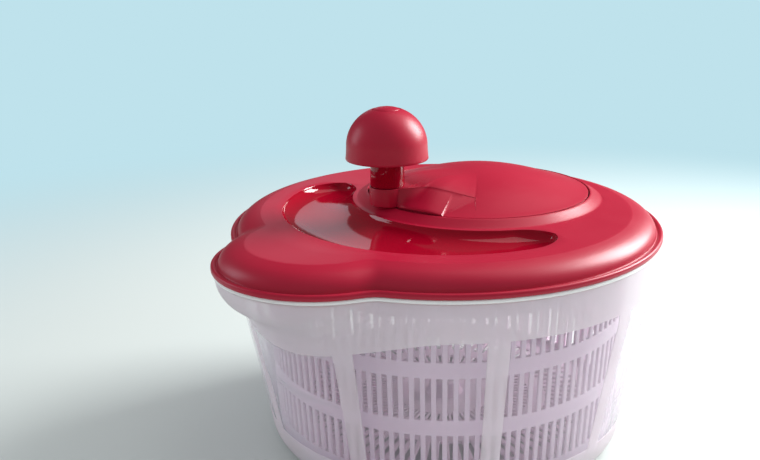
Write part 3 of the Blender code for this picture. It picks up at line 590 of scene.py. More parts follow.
@dataclass
class CrankCover:
    """The crank disc: a dome whose one side rises in a fan to the arm that carries the knob."""

    axis: Vector = field(default_factory=lambda: joint_position("crank_spin"))
    knob: Vector = field(default_factory=lambda: joint_position("knob_spin"))
    flange: float = 130 * MM
    radius: float = 68.9 * MM
    rim_height: float = 16.8 * MM
    rise: float = 14.4 * MM
    power: float = 1.23
    wall: float = 2.2 * MM
    arm_top: float = 28 * MM
    arm_foot: float = 17.3 * MM
    boss_radius: float = 10.8 * MM
    fan_degrees: float = 51.5
    foot_degrees: float = 35.5
    blend_radius: float = 12 * MM
    crease_radius: float = 55 * MM
    crease_rise: float = 0.28 * MM
    # Where the fan's sloping side starts, and its heights, by degrees away from the arm
    top_radius: tuple = ((9.2, 67.2), (13.7, 59.3), (17, 53.6), (21, 51.6), (26, 50.4), (34, 48.8),
                         (43, 48.0), (51.5, 48.5))
    top_lift: tuple = ((9.2, 28), (17, 28), (21, 27.85), (26, 27.3), (34, 25.9), (43, 24.3), (51.5, 22.85))
    foot_lift: tuple = ((9.2, 17.9), (18, 18.9), (28, 18.9), (35.5, 17.6))

    def dome(self, radius: float) -> float:
        """Height of the plain dome above the flange."""
        share = max(1 - (radius / self.radius) ** 2, 0.0)
        return self.rim_height + self.rise * share ** self.power

    def fan(self, radius: float, degrees: float, edge: float, crown: float) -> float:
        """Height of the fan's upper surface inside its edge."""
        crease = min(edge, self.crease_radius)
        if radius >= crease:
            return crown
        share = (radius - self.blend_radius) / (crease - self.blend_radius)
        if share <= 0:
            return self.dome(radius)
        eased = share * share * (3 - 2 * share)
        return self.dome(radius) + (crown - self.dome(crease)) * eased

    def column(self, off_arm: float) -> Path:
        """Upper surface and rim in one direction.

        Args:
            off_arm: direction away from the arm, in degrees.

        Returns:
            (radius, height) points above the flange, from the centre to the rim's lower edge.
        """
        degrees = abs(off_arm)
        knob_reach = (self.knob - self.axis).to_2d().length
        shares = [0.04, 0.1, 0.17, 0.25, 0.33, 0.41, 0.49, 0.57, 0.65, 0.73, 0.8, 0.86, 0.92, 0.97, 1.0]
        across = knob_reach * math.sin(math.radians(degrees))
        if across < self.boss_radius and degrees < 9.19:
            reach = knob_reach * math.cos(math.radians(degrees))
            edge = reach + math.sqrt(self.boss_radius ** 2 - across ** 2)
            return self.boss_column(edge, shares)
        if degrees >= self.fan_degrees:
            path = [(self.top_radius[-1][1] * MM * share, self.dome(self.top_radius[-1][1] * MM * share))
                    for share in shares]
            for radius in np.linspace(51, 68.3, 12):
                path.append((radius * MM, self.dome(radius * MM)))
            return path + self.rim(self.rim_height, 0.15 * MM, 0.35 * MM)
        edge = interpolate(degrees, self.top_radius) * MM
        crown = interpolate(degrees, self.top_lift) * MM
        path = [(edge * share, self.fan(edge * share, degrees, edge, crown)) for share in shares]
        path[-1] = (edge - 0.5 * MM, crown)
        path.append((edge, crown + self.crease_rise))
        if degrees <= self.foot_degrees:
            foot_height = interpolate(degrees, self.foot_lift) * MM
            for share in np.linspace(0.02, 0.985, 12):
                path.append((edge + (self.radius - edge) * share, crown + (foot_height - crown) * share))
            lip = foot_height - self.rim_height
            return path + self.rim(foot_height, min(lip * 0.5, 1.2 * MM), min(lip, 2.0 * MM))
        share_past = (degrees - self.foot_degrees) / (self.fan_degrees - self.foot_degrees)
        foot = self.end_line(degrees, share_past)
        foot_height = self.dome(foot)
        for share in (0.03, 0.25, 0.5, 0.75, 0.95):
            path.append((edge + (foot - edge) * share, crown + (foot_height - crown) * share))
        path.append((foot, foot_height + self.crease_rise * 0.8))
        for share in (0.08, 0.25, 0.45, 0.65, 0.85, 0.98):
            radius = foot + (self.radius - 0.6 * MM - foot) * share
            path.append((radius, self.dome(radius)))
        return path + self.rim(self.rim_height + 0.02 * MM, 0.15 * MM, 0.35 * MM)

    def end_line(self, degrees: float, share: float) -> float:
        """Radius at which the sloping side's straight end line crosses a direction."""
        near = (self.radius - 0.4 * MM, math.radians(self.foot_degrees))
        far = (self.top_radius[-1][1] * MM + 0.1 * MM, math.radians(self.fan_degrees))
        first = Vector((near[0] * math.cos(near[1]), near[0] * math.sin(near[1])))
        last = Vector((far[0] * math.cos(far[1]), far[0] * math.sin(far[1])))
        direction = Vector((math.cos(math.radians(degrees)), math.sin(math.radians(degrees))))
        along = last - first
        # Solve direction * radius = first + along * step
        cross = direction.y * along.x - direction.x * along.y
        step = (direction.x * first.y - direction.y * first.x) / cross
        return (first + along * step).length

    def boss_column(self, edge: float, shares: list[float]) -> Path:
        """Column through the boss: a flat top out to its edge, its wall and its underside."""
        crease = self.crease_radius
        path = [(crease * share, self.fan(crease * share, 0.0, crease, self.arm_top)) for share in shares]
        for share in np.linspace(0.04, 0.965, 9):
            path.append((crease + (edge - crease) * share, self.arm_top))
        path += [(edge - 0.35 * MM, self.arm_top), (edge - 0.1 * MM, self.arm_top - 0.1 * MM),
                 (edge, self.arm_top - 0.35 * MM)]
        return path + [(edge, self.arm_foot + 0.3 * MM), (edge - 0.3 * MM, self.arm_foot),
                       (67.6 * MM, self.arm_foot), (67.6 * MM, self.rim_height - 0.1 * MM),
                       (self.radius, self.rim_height - 0.3 * MM), (self.radius, self.rim_height - 1.8 * MM)]

    def rim(self, top: float, lip: float, undercut: float) -> Path:
        """The outer edge below a column's upper surface, with a small groove under its lip."""
        return [(self.radius, top - 0.12 * MM), (self.radius, top - lip),
                (self.radius - undercut, top - lip - 0.05 * MM),
                (self.radius - undercut, self.rim_height - 0.6 * MM),
                (self.radius, self.rim_height - 0.8 * MM), (self.radius, self.rim_height - 1.8 * MM)]

    def underside(self) -> Path:
        """(radius, height above the flange) from the rim in to the hub's screw hole."""
        rib = (44.4 * MM, 50.4 * MM)
        low = 19.3 * MM
        path = [(66 * MM, self.rim_height - 1.6 * MM)]
        path += [(radius, self.dome(radius) - self.wall) for radius in (60 * MM, 55 * MM, rib[1])]
        path += [(rib[1], low), (rib[0], low)]
        path += [(radius, self.dome(radius) - self.wall) for radius in (rib[0], 34 * MM, 22 * MM, 7.4 * MM)]
        return path + [(6 * MM, 27 * MM), (6 * MM, 5.9 * MM), (1.8 * MM, 5.9 * MM), (1.8 * MM, 19 * MM)]

    def off_arm_angles(self) -> list[float]:
        """Directions round the disc in degrees from the arm, closer together on the fan."""
        boss = [9.18 * math.sin(math.radians(turn)) for turn in range(-90, 91, 6)]
        side = list(np.linspace(9.35, self.fan_degrees, 66))
        back = list(np.linspace(self.fan_degrees, 360 - self.fan_degrees, 170))[1:-1]
        return boss + side + back + [360 - value for value in reversed(side)]

    def build(self, palette: Palette) -> None:
        """Make the disc and dress it.

        Args:
            palette: the finished materials.
        """
        offsets = self.off_arm_angles()
        arm = (self.knob - self.axis).to_2d()
        arm_angle = math.atan2(arm.y, arm.x)
        angles = np.radians(offsets) + arm_angle
        columns = [self.column(math.degrees(math.remainder(math.radians(value), FULL_TURN)))
                   for value in offsets]
        under = self.underside()
        rings = []
        for station in range(len(columns[0]) + len(under)):
            points = [(column + under)[station] for column in columns]
            radii = np.array([point[0] for point in points])
            heights = np.array([point[1] for point in points]) + self.flange
            rings.append(np.column_stack([self.axis.x + radii * np.cos(angles),
                                          self.axis.y + radii * np.sin(angles), heights]))
        top = (self.axis.x, self.axis.y, self.flange + self.rim_height + self.rise)
        hole = (self.axis.x, self.axis.y, self.flange + 19.5 * MM)
        disc = loft("crank_cover", rings, poles=(top, hole), sharp_degrees=28)
        disc.data.materials.append(palette.satin)
        settle(disc, "crank", ("crank_disc",))


# ------------------------------------------------------------------ knob

@dataclass
class Knob:
    """The mushroom knob: a hollow satin crown with a set-in cap, on a polished stem."""

    axis: Vector = field(default_factory=lambda: joint_position("knob_spin"))
    low: float = 174.5 * MM
    top: float = 205.2 * MM
    radius: float = 24.5 * MM
    shoulder: float = 23.9 * MM
    stem_radius: float = 10.2 * MM
    steps: int = 112

    def crown_point(self, degrees: float, inset: float = 0.0) -> Point:
        """Point on the round crown, by its angle above the skirt."""
        skirt = self.low + 8 * MM
        swing = math.radians(degrees)
        return ((self.shoulder - inset) * math.cos(swing),
                skirt + (self.top - skirt - inset) * math.sin(swing))

    def shell_profile(self) -> Path:
        """Closed section of the crown."""
        well = 8.25 * MM
        edge = [point for point in (self.crown_point(turn) for turn in np.linspace(69, 0, 26))]
        skirt = [(24.05 * MM, self.low + 5 * MM), (24.3 * MM, self.low + 2 * MM),
                 (self.radius - 0.02 * MM, self.low + 0.5 * MM), (self.radius - 0.3 * MM, self.low)]
        inner = [(self.radius - 1.9 * MM, self.low), (self.radius - 2.2 * MM, self.low + 0.4 * MM),
                 (21.7 * MM, self.low + 8 * MM)]
        inner += [self.crown_point(turn, 2.3 * MM) for turn in (12, 24, 36, 48, 58)]
        core = [(10.8 * MM, 198 * MM), (10.8 * MM, 192.2 * MM), (4.3 * MM, 192.2 * MM),
                (4.3 * MM, 193.5 * MM), (well, 193.5 * MM), (well, self.crown_point(70)[1] - 0.35 * MM)]
        return edge + skirt + inner + core

    def build(self, palette: Palette) -> None:
        """Make the crown, its cap and the stem.

        Args:
            palette: the finished materials.
        """
        crown = turned("knob_crown", self.shell_profile(), self.axis, self.steps)
        crown.data.materials.append(palette.satin)
        settle(crown, "knob", ("knob_shell",))
        top = [(0.0, self.top), (3 * MM, self.top - 0.16 * MM), (5.5 * MM, self.top - 0.62 * MM),
               (7.3 * MM, self.top - 1.2 * MM), (7.8 * MM, self.top - 1.5 * MM),
               (7.95 * MM, self.top - 1.85 * MM), (7.95 * MM, 201 * MM), (6.6 * MM, 201 * MM),
               (6.6 * MM, 202.8 * MM), (0.0, 202.8 * MM)]
        cap = turned("knob_cap_disc", top, self.axis, self.steps, closed=False)
        cap.data.materials.append(palette.satin)
        settle(cap, "knob", ("knob_cap",))
        foot = 158.3 * MM
        bore = 4.2 * MM
        profile = [(bore, 191.9 * MM), (self.stem_radius - 0.4 * MM, 191.9 * MM),
                   (self.stem_radius - 0.25 * MM, 191.5 * MM), (self.stem_radius - 0.25 * MM, 176 * MM),
                   (self.stem_radius, foot + 0.7 * MM), (self.stem_radius - 0.25 * MM, foot + 0.12 * MM),
                   (self.stem_radius - 0.6 * MM, foot), (bore, foot)]
        stem = turned("knob_stem_sleeve", profile, self.axis, self.steps)
        stem.data.materials.append(palette.polished)
        settle(stem, "knob", ("knob_stem",))


# ------------------------------------------------------------------ bowl

class Zone(IntEnum):
    """Parts of the bowl's skin with a look of their own."""

    ETCHED = 0
    WINDOW = 1
    INSIDE = 2
    BEAD = 3


@dataclass
class BowlSkin:
    """Rings of the bowl's skin, kept from the middle of the base round to the floor's spike."""

    plan: np.ndarray
    rings: list[np.ndarray] = field(default_factory=list)
    zones: list[int] = field(default_factory=list)

    def level(self, radii: list[float], heights: list[float], zone: Zone = Zone.ETCHED) -> None:
        """Keep one ring and the zone of the faces after it.

        Args:
            radii: the ring's radius in each direction.
            heights: its height in each direction.
            zone: the look of the faces between it and the next ring.
        """
        self.rings.append(np.column_stack([self.plan * np.array(radii)[:, None], heights]))
        self.zones.append(int(zone))

    def flat(self, radius: float, height: float, zone: Zone = Zone.ETCHED) -> None:
        """Keep a round, level ring."""
        self.level([radius] * len(self.plan), [height] * len(self.plan), zone)


@dataclass
class Bowl:
    """The bowl: a tapered wall with polished windows in its etched surface, and a pouring lobe."""

    foot_radius: float = 109.3 * MM
    top_radius: float = 128.6 * MM
    top_height: float = 102 * MM
    collar_slope: float = 0.016
    corner: float = 13 * MM
    inner_corner: float = 11.8 * MM
    wall: float = 2.2 * MM
    floor_top: float = 3.4 * MM
    floor_flat: float = 40 * MM
    spike_top: float = 20.7 * MM
    collar_top: float = 127.4 * MM
    scoop_radius: float = 55 * MM
    scoop_foot: float = 87 * MM
    scoop_fillet: float = 13 * MM
    windows: int = 10
    window_columns: int = 30
    window_rows: int = 22
    collar_rows: int = 26
    inner_rows: int = 39
    strip: float = math.radians(5.2)
    window_edge: float = math.radians(0.16)
    window_foot: float = 21 * MM
    window_step: float = 0.35 * MM
    window_sink: float = 0.3 * MM
    window_head: float = 106.6 * MM
    window_dip: float = 17.6 * MM
    dip_half_angle: float = math.radians(44)
    dip_power: float = 1.8
    # First step of the collar above the windows, as a share of its height
    collar_start: float = 0.012
    # Furthest reach of the lobe's outside by height, in millimetres
    scoop: tuple = ((60, 118), (78, 122.5), (87, 126.0), (91, 128.8), (97, 133.2), (103, 138.2),
                    (108, 143.2), (112, 148.4), (115, 152.0), (118, 154.2), (121, 155.6),
                    (124.5, 156.4), (127.4, 156.8))
    # Underside from the centre pad over the recess to the foot ring, in millimetres
    base: tuple = ((12, 0), (24, 0), (24.6, 0.35), (25.2, 1.2), (70.8, 1.2), (71.4, 0.35), (72, 0), (84, 0))
    # The bead: how far out of the collar and how far above its top, in millimetres
    bead: tuple = ((0.5, 0.45), (0.7, 0.9), (0.7, 1.8), (0.4, 2.25), (-0.1, 2.35), (-2.3, 2.35),
                   (-2.8, 2.2), (-3.1, 1.7))
    # The spike that the basket turns on, radius and height in millimetres
    spike: tuple = ((9, 3.4), (6.4, 4.4), (4.6, 6.6), (4.5, 12), (4.4, 18.6), (3, 20.1))

    def wall_radius(self, height: float) -> float:
        """Outer radius of the round wall and collar."""
        above = height - self.top_height
        if above > 0:
            return self.top_radius + self.collar_slope * above
        return self.foot_radius + (self.top_radius - self.foot_radius) * height / self.top_height

    def reach(self, height: float) -> float:
        """Furthest reach of the lobe's outside at a height."""
        return interpolate(height / MM, self.scoop) * MM

    def skin_radius(self, angle: float, height: float, inward: float = 0.0) -> float:
        """Radius of the wall in a direction.

        Args:
            angle: direction from the main axis.
            height: height above the table.
            inward: how far inside the outer surface, measured square to it.

        Returns:
            The distance from the main axis.
        """
        main = self.wall_radius(height) - inward
        if height < self.scoop[0][0] * MM:
            return main
        slope = (self.reach(height + MM) - self.reach(height - MM)) / (2 * MM)
        reach = self.reach(height) - inward * math.hypot(1, slope)
        lobe = max(self.reach(height) - OUTLINE.lobe_offset, self.scoop_radius) - inward
        share = min(max((height - self.scoop_foot) / (self.collar_top - self.scoop_foot), 0.0), 1.0)
        fillet = self.scoop_fillet + (OUTLINE.fillet - self.scoop_fillet) * share
        return OUTLINE.radius(angle, main, lobe, reach - lobe, fillet)

    def window_top(self, angle: float) -> float:
        """Height of the windows' top edge, which dips below the lobe."""
        turn = abs(math.remainder(angle - FRONT, FULL_TURN)) / self.dip_half_angle
        return self.window_head - self.window_dip * math.cos(min(turn, 1.0) * math.pi / 2) ** self.dip_power

    def angles(self) -> np.ndarray:
        """Directions round the bowl, close together at the windows' upright edges."""
        pitch = FULL_TURN / self.windows
        half = (pitch - self.strip) / 2
        found: list[float] = []
        for window in range(self.windows):
            middle = FRONT + pitch * window
            found += [middle - half + 2 * half * step / self.window_columns
                      for step in range(self.window_columns + 1)]
            strip = middle + half
            found.append(strip + self.window_edge)
            found += [strip + self.strip * share for share in (0.3, 0.5, 0.7)]
            found.append(strip + self.strip - self.window_edge)
        return np.array(found)

    def strip_distance(self, angle: float) -> float:
        """How far a direction is inside a window, negative on a strip."""
        pitch = FULL_TURN / self.windows
        return (pitch - self.strip) / 2 - abs(math.remainder(angle - FRONT, pitch)) + 1e-4

    def build(self, palette: Palette) -> None:
        """Make the bowl and dress it.

        Args:
            palette: the finished materials.
        """
        angles = self.angles()
        skin = BowlSkin(np.column_stack([np.cos(angles), np.sin(angles)]))
        directions = [float(angle) for angle in angles]
        self.add_base(skin)
        self.add_windows(skin, directions)
        self.add_bead(skin, directions)
        self.add_inside(skin, directions)
        body = loft("bowl_body", skin.rings, poles=((0, 0, 0), (0, 0, self.spike_top)),
                    ring_slots=skin.zones, sharp_degrees=35)
        self.dress(body, palette)
        settle(body, "bowl", ("bowl",))

    def add_base(self, skin: BowlSkin) -> None:
        """Keep the underside and the round that leads into the wall."""
        for radius, height in self.base:
            skin.flat(radius * MM, height * MM)
        start = self.wall_radius(self.corner) - self.corner
        for turn in range(0, 91, 10):
            swing = math.radians(turn)
            skin.flat(start + self.corner * math.sin(swing), self.corner * (1 - math.cos(swing)))

    def add_windows(self, skin: BowlSkin, directions: list[float]) -> None:
        """Keep the wall with its sunk windows, and the collar and lobe above them."""
        tops = [self.window_top(angle) for angle in directions]
        sinks = [self.window_sink if self.strip_distance(angle) > 0 else 0.0 for angle in directions]
        foot = self.window_foot - self.window_step
        skin.flat(self.wall_radius(foot), foot)
        for row in range(self.window_rows + 1):
            share = row / self.window_rows
            heights = [self.window_foot + (top - self.window_foot) * share for top in tops]
            radii = [self.skin_radius(angle, height, sink)
                     for angle, height, sink in zip(directions, heights, sinks)]
            skin.level(radii, heights, Zone.WINDOW if row < self.window_rows else Zone.ETCHED)
        for row in range(self.collar_rows + 1):
            share = self.collar_start + (1 - self.collar_start) * row / self.collar_rows
            heights = [top + (self.collar_top - top) * share for top in tops]
            skin.level([self.skin_radius(angle, height) for angle, height in zip(directions, heights)],
                       heights)

    def add_bead(self, skin: BowlSkin, directions: list[float]) -> None:
        """Keep the bead along the top edge."""
        for out, lift in self.bead:
            height = self.collar_top + lift * MM
            skin.level([self.skin_radius(angle, self.collar_top, -out * MM) for angle in directions],
                       [height] * len(directions), Zone.BEAD)

    def add_inside(self, skin: BowlSkin, directions: list[float]) -> None:
        """Keep the inside, from the bead down to the floor and up the spike."""
        low = self.floor_top + self.inner_corner
        high = self.collar_top + 0.6 * MM
        for row in range(self.inner_rows + 1):
            height = high + (low - high) * row / self.inner_rows
            skin.level([self.skin_radius(angle, min(height, self.collar_top), self.wall)
                        for angle in directions], [height] * len(directions), Zone.INSIDE)
        start = self.wall_radius(low) - self.wall - self.inner_corner
        for turn in range(80, -1, -10):
            swing = math.radians(turn)
            skin.flat(start + self.inner_corner * math.sin(swing),
                      self.floor_top + self.inner_corner * (1 - math.cos(swing)), Zone.INSIDE)
        skin.flat(self.floor_flat, self.floor_top, Zone.INSIDE)
        for radius, height in smooth_run(list(self.spike), 3):
            skin.flat(radius * MM, height * MM, Zone.INSIDE)

    def dress(self, body: bpy.types.Object, palette: Palette) -> None:
        """Etch the outer face but for its windows, polish the inside, and paint the bead white as a painted
        highlight.
        """
        # white is the bead's painted highlight material
        etched, polished, white = range(3)
        for finish in (palette.etched, palette.clear, palette.bead):
            body.data.materials.append(finish)
        looks = {Zone.ETCHED: etched, Zone.INSIDE: polished, Zone.BEAD: white}
        for face in body.data.polygons:
            if face.material_index == Zone.WINDOW:
                inside = self.strip_distance(math.atan2(face.center.y, face.center.x)) > 0.002
                face.material_index = polished if inside else etched
            else:
                face.material_index = looks[Zone(face.material_index)]


# ------------------------------------------------------------------ basket

@dataclass
class Perforation:
    """Geometry Nodes tree that lays a perforated sheet round the main axis.

    A grid with two columns for each slot, the slot itself and the rib beside it, is wrapped into a cone
    or a disc. Every second row is left open at its slots; the rows between are plain rings.
    """

    name: str = "perforated_sheet"

    def tree(self) -> bpy.types.NodeTree:
        """Build the node tree.

        Returns:
            A Geometry Nodes tree with named inputs.
        """
        tree = bpy.data.node_groups.new(self.name, "GeometryNodeTree")
        tree.interface.new_socket("Geometry", in_out="OUTPUT", socket_type="NodeSocketGeometry")
        sizes = {"Slots": 117, "Rows": 5}
        for name, value in sizes.items():
            tree.interface.new_socket(name, in_out="INPUT", socket_type="NodeSocketInt").default_value = value
        for name in ("Start Radius", "Start Height", "Radius Step", "Height Step", "Slot Length",
                     "Ring Width", "Slot Share", "Phase"):
            tree.interface.new_socket(name, in_out="INPUT", socket_type="NodeSocketFloat")
        tree.interface.new_socket("Material", in_out="INPUT", socket_type="NodeSocketMaterial")
        inputs = add_node(tree, "NodeGroupInput").outputs

        def math_node(operation: str, first: object, second: object = 0.0) -> bpy.types.NodeSocket:
            """Result of a sum of two values."""
            return add_node(tree, "ShaderNodeMath", {"operation": operation},
                            {0: first, 1: second}).outputs[0]

        columns = math_node("MULTIPLY", inputs["Slots"], 2.0)
        grid = add_node(tree, "GeometryNodeMeshGrid", inputs={
            "Size X": 1.0, "Size Y": 1.0,
            "Vertices X": math_node("ADD", columns, 1.0),
            "Vertices Y": math_node("ADD", inputs["Rows"], 1.0)})
        place = add_node(tree, "ShaderNodeSeparateXYZ",
                         inputs={"Vector": add_node(tree, "GeometryNodeInputPosition").outputs[0]}).outputs
        along = math_node("MULTIPLY", math_node("ADD", place["X"], 0.5), columns)
        down = math_node("MULTIPLY", math_node("ADD", place["Y"], 0.5), inputs["Rows"])
        even = math_node("LESS_THAN", math_node("MODULO", math_node("FLOOR", along), 2.0), 0.5)
        slot_row = math_node("GREATER_THAN", math_node("MODULO", math_node("FLOOR", down), 2.0), 0.5)
        is_slot = math_node("MULTIPLY", even, slot_row)
        opened = add_node(tree, "GeometryNodeDeleteGeometry", {"domain": "FACE"}, {
            "Geometry": grid.outputs["Mesh"],
            "Selection": add_node(tree, "FunctionNodeCompare", {"data_type": "FLOAT",
                                  "operation": "GREATER_THAN"}, {0: is_slot, 1: 0.5}).outputs[0]})
        edge_row = math_node("ROUND", down)
        pairs = math_node("FLOOR", math_node("DIVIDE", edge_row, 2.0))
        odd = math_node("MODULO", edge_row, 2.0)
        period = math_node("ADD", inputs["Slot Length"], inputs["Ring Width"])
        travelled = math_node("ADD", math_node("MULTIPLY", pairs, period),
                              math_node("MULTIPLY", odd, inputs["Ring Width"]))
        radius = math_node("ADD", inputs["Start Radius"],
                           math_node("MULTIPLY", travelled, inputs["Radius Step"]))
        height = math_node("ADD", inputs["Start Height"],
                           math_node("MULTIPLY", travelled, inputs["Height Step"]))
        edge_column = math_node("ROUND", along)
        slot_number = math_node("FLOOR", math_node("DIVIDE", edge_column, 2.0))
        into_slot = math_node("MULTIPLY", math_node("MODULO", edge_column, 2.0), inputs["Slot Share"])
        turn = math_node("DIVIDE", math_node("ADD", slot_number, into_slot), inputs["Slots"])
        angle = math_node("ADD", math_node("MULTIPLY", turn, FULL_TURN), inputs["Phase"])
        wrapped = add_node(tree, "ShaderNodeCombineXYZ", inputs={
            "X": math_node("MULTIPLY", radius, math_node("COSINE", angle)),
            "Y": math_node("MULTIPLY", radius, math_node("SINE", angle)), "Z": height})
        moved = add_node(tree, "GeometryNodeSetPosition", inputs={
            "Geometry": opened.outputs[0], "Position": wrapped.outputs[0]})
        sewn = add_node(tree, "GeometryNodeMergeByDistance", inputs={
            "Geometry": moved.outputs[0], "Distance": 0.00001})
        real = add_node(tree, "GeometryNodeRealizeInstances", inputs={"Geometry": sewn.outputs[0]})
        dressed = add_node(tree, "GeometryNodeSetMaterial", inputs={
            "Geometry": real.outputs[0], "Material": inputs["Material"]})
        add_node(tree, "NodeGroupOutput", inputs={"Geometry": dressed.outputs[0]})
        return tree

    def sheet(self, name: str, tree: bpy.types.NodeTree, values: dict) -> bpy.types.Mesh:
        """Run the tree and keep its plain mesh.

        Args:
            name: name of the mesh.
            tree: the tree from tree().
            values: its input values by name.

        Returns:
            The evaluated mesh.
        """
        holder = bpy.data.objects.new(name, bpy.data.meshes.new(f"{name}_seed"))
        bpy.context.scene.collection.objects.link(holder)
        step = holder.modifiers.new("perforate", "NODES")
        step.node_group = tree
        identifiers = {item.name: item.identifier for item in tree.interface.items_tree
                       if item.in_out == "INPUT"}
        for key, value in values.items():
            step[identifiers[key]] = value
        bpy.context.view_layer.update()
        graph = bpy.context.evaluated_depsgraph_get()
        mesh = bpy.data.meshes.new_from_object(holder.evaluated_get(graph))
        mesh.name = name
        bpy.data.objects.remove(holder)
        return mesh


@dataclass
class Basket:
    """The slotted basket that turns in the bowl."""

    top: float = 125 * MM
    floor: float = 16 * MM
    top_radius: float = 112.7 * MM
    foot_radius: float = 106.9 * MM
    wall: float = 1.8 * MM
    slots: int = 117
    slot_share: float = 0.54
    phase: float = math.radians(-50.3)
    slot_length: float = 24.8 * MM
    ring_width: float = 9.4 * MM
    first_ring: float = 12.0 * MM
    rows: int = 7
    rim_radius: float = 114.2 * MM
    rim_depth: float = 2 * MM
    rim_edge: float = 0.3 * MM
    floor_slots: int = 78
    floor_slot_share: float = 0.5
    floor_slot_length: float = 24 * MM
    floor_ring_width: float = 10 * MM
    floor_rows: int = 5
    floor_radius: float = 99 * MM
    notches: int = 6
    notch_width: float = 9 * MM
    notch_reach: tuple = (104 * MM, 120 * MM)
    notch_floor: float = 121.4 * MM

    def slope(self) -> float:
        """Change of the wall's radius for each metre downwards."""
        return (self.foot_radius - self.top_radius) / (self.top - self.floor)

    def build(self, palette: Palette) -> None:
        """Make the slotted wall and floor, the rim and the hub.

        Args:
            palette: the finished materials.
        """
        perforation = Perforation()
        tree = perforation.tree()
        start = self.top - self.first_ring + self.ring_width
        start_radius = self.top_radius + self.slope() * (self.top - start)
        wall = perforation.sheet("basket_wall", tree, {
            "Slots": self.slots, "Slot Share": self.slot_share, "Rows": self.rows,
            "Start Radius": start_radius, "Start Height": start, "Radius Step": self.slope(),
            "Height Step": -1.0, "Slot Length": self.slot_length, "Ring Width": self.ring_width,
            "Phase": self.phase, "Material": palette.basket})
        self.thicken("basket_slotted_wall", wall, palette, ("basket",))
        floor = perforation.sheet("basket_floor", tree, {
            "Slots": self.floor_slots, "Slot Share": self.floor_slot_share, "Rows": self.floor_rows,
            "Start Radius": self.floor_radius, "Start Height": self.floor, "Radius Step": -1.0,
            "Height Step": 0.0, "Slot Length": self.floor_slot_length,
            "Ring Width": self.floor_ring_width,
            "Phase": self.phase, "Material": palette.basket})
        self.thicken("basket_slotted_floor", floor, palette, ())
        self.rim(palette)
        self.corner(palette)
        self.hub(palette)

    def thicken(self, name: str, mesh: bpy.types.Mesh, palette: Palette, stands_for: tuple) -> None:
        """Give a perforated sheet its thickness and soft slot edges.

        Args:
            name: the piece's name.
            mesh: the open sheet.
            palette: the finished materials.
            stands_for: the CAD nodes that it replaces.
        """
        build = bmesh.new()
        build.from_mesh(mesh)
        bmesh.ops.recalc_face_normals(build, faces=build.faces)
        build.to_mesh(mesh)
        build.free()
        sheet = bpy.data.objects.new(name, mesh)
        bpy.context.scene.collection.objects.link(sheet)
        outward = sum(face.normal.dot(face.center.normalized()) for face in mesh.polygons) >= 0
        solid = sheet.modifiers.new("thickness", "SOLIDIFY")
        solid.thickness = self.wall
        solid.offset = -1.0 if outward else 1.0
        soft = sheet.modifiers.new("soft edges", "BEVEL")
        soft.width = 0.3 * MM
        soft.segments = 1
        soft.limit_method = "ANGLE"
        soft.angle_limit = math.radians(50)
        if not sheet.data.materials:
            sheet.data.materials.append(palette.basket)
        if "basket" in stands_for:
            self.cut_notches(sheet)
        settle(sheet, "basket", stands_for)

    def cut_notches(self, piece: bpy.types.Object) -> None:
        """Cut the notches in the rim that the drive plate's dogs grip.

        Args:
            piece: the finished rim or wall, whose modifiers are applied too.
        """
        near, far = self.notch_reach
        high = self.top + 5 * MM
        build = bmesh.new()
        for notch in range(self.notches):
            block = bmesh.ops.create_cube(build, size=1.0)["verts"]
            bmesh.ops.scale(build, vec=(far - near, self.notch_width, high - self.notch_floor), verts=block)
            bmesh.ops.translate(build, vec=((near + far) / 2, 0, (high + self.notch_floor) / 2), verts=block)
            bmesh.ops.rotate(build, cent=(0, 0, 0), verts=block, matrix=Matrix.Rotation(
                FULL_TURN * (notch + 0.5) / self.notches, 3, "Z"))
        mesh = bpy.data.meshes.new("notch_blocks")
        build.to_mesh(mesh)
        build.free()
        blocks = bpy.data.objects.new("notch_blocks", mesh)
        bpy.context.scene.collection.objects.link(blocks)
        cut = piece.modifiers.new("notches", "BOOLEAN")
        cut.operation = "DIFFERENCE"
        cut.solver = "EXACT"
        cut.object = blocks
        bpy.context.view_layer.update()
        graph = bpy.context.evaluated_depsgraph_get()
        whole = piece.data
        piece.data = bpy.data.meshes.new_from_object(piece.evaluated_get(graph))
        piece.modifiers.clear()
        bpy.data.meshes.remove(whole)
        bpy.data.objects.remove(blocks)
        bpy.data.meshes.remove(mesh)

    def rim(self, palette: Palette) -> None:
        """Make the plain top of the wall and its turned-out rim."""
        top, slope = self.top, self.slope()
        low = self.top - self.first_ring + self.ring_width
        edge, depth = self.rim_edge, self.rim_depth
        lip = self.rim_radius - 0.2 * MM
        profile = [(self.top_radius - self.wall, top), (lip, top), (self.rim_radius, top - edge),
                   (self.rim_radius, top - depth + edge), (lip, top - depth),
                   (self.top_radius + slope * 3 * MM, top - 2.2 * MM),
                   (self.top_radius + slope * (top - low), low),
                   (self.top_radius + slope * (top - low) - self.wall, low)]
        rim = turned("basket_rim", profile, Vector((0, 0, 0)), 180)
        rim.data.materials.append(palette.basket)
        self.cut_notches(rim)
        settle(rim, "basket", ())

    def corner(self, palette: Palette) -> None:
        """Make the rounded foot between the wall and the floor."""
        low = self.top - self.first_ring + self.ring_width
        travelled = (self.rows // 2 + 1) * self.ring_width + (self.rows // 2) * self.slot_length
        wall_foot = low - travelled
        radius = self.top_radius + self.slope() * (self.top - wall_foot)
        outer = smooth_run([(radius, wall_foot), (106.6 * MM, 19.8 * MM), (104.6 * MM, 16.2 * MM),
                            (self.floor_radius, self.floor - self.wall)], 4)
        inner = smooth_run([(self.floor_radius, self.floor), (103 * MM, 17.6 * MM), (104.8 * MM, 20.6 * MM),
                            (radius - self.wall, wall_foot)], 4)
        foot = turned("basket_foot", outer + inner, Vector((0, 0, 0)), 180)
        foot.data.materials.append(palette.basket)
        settle(foot, "basket", ())

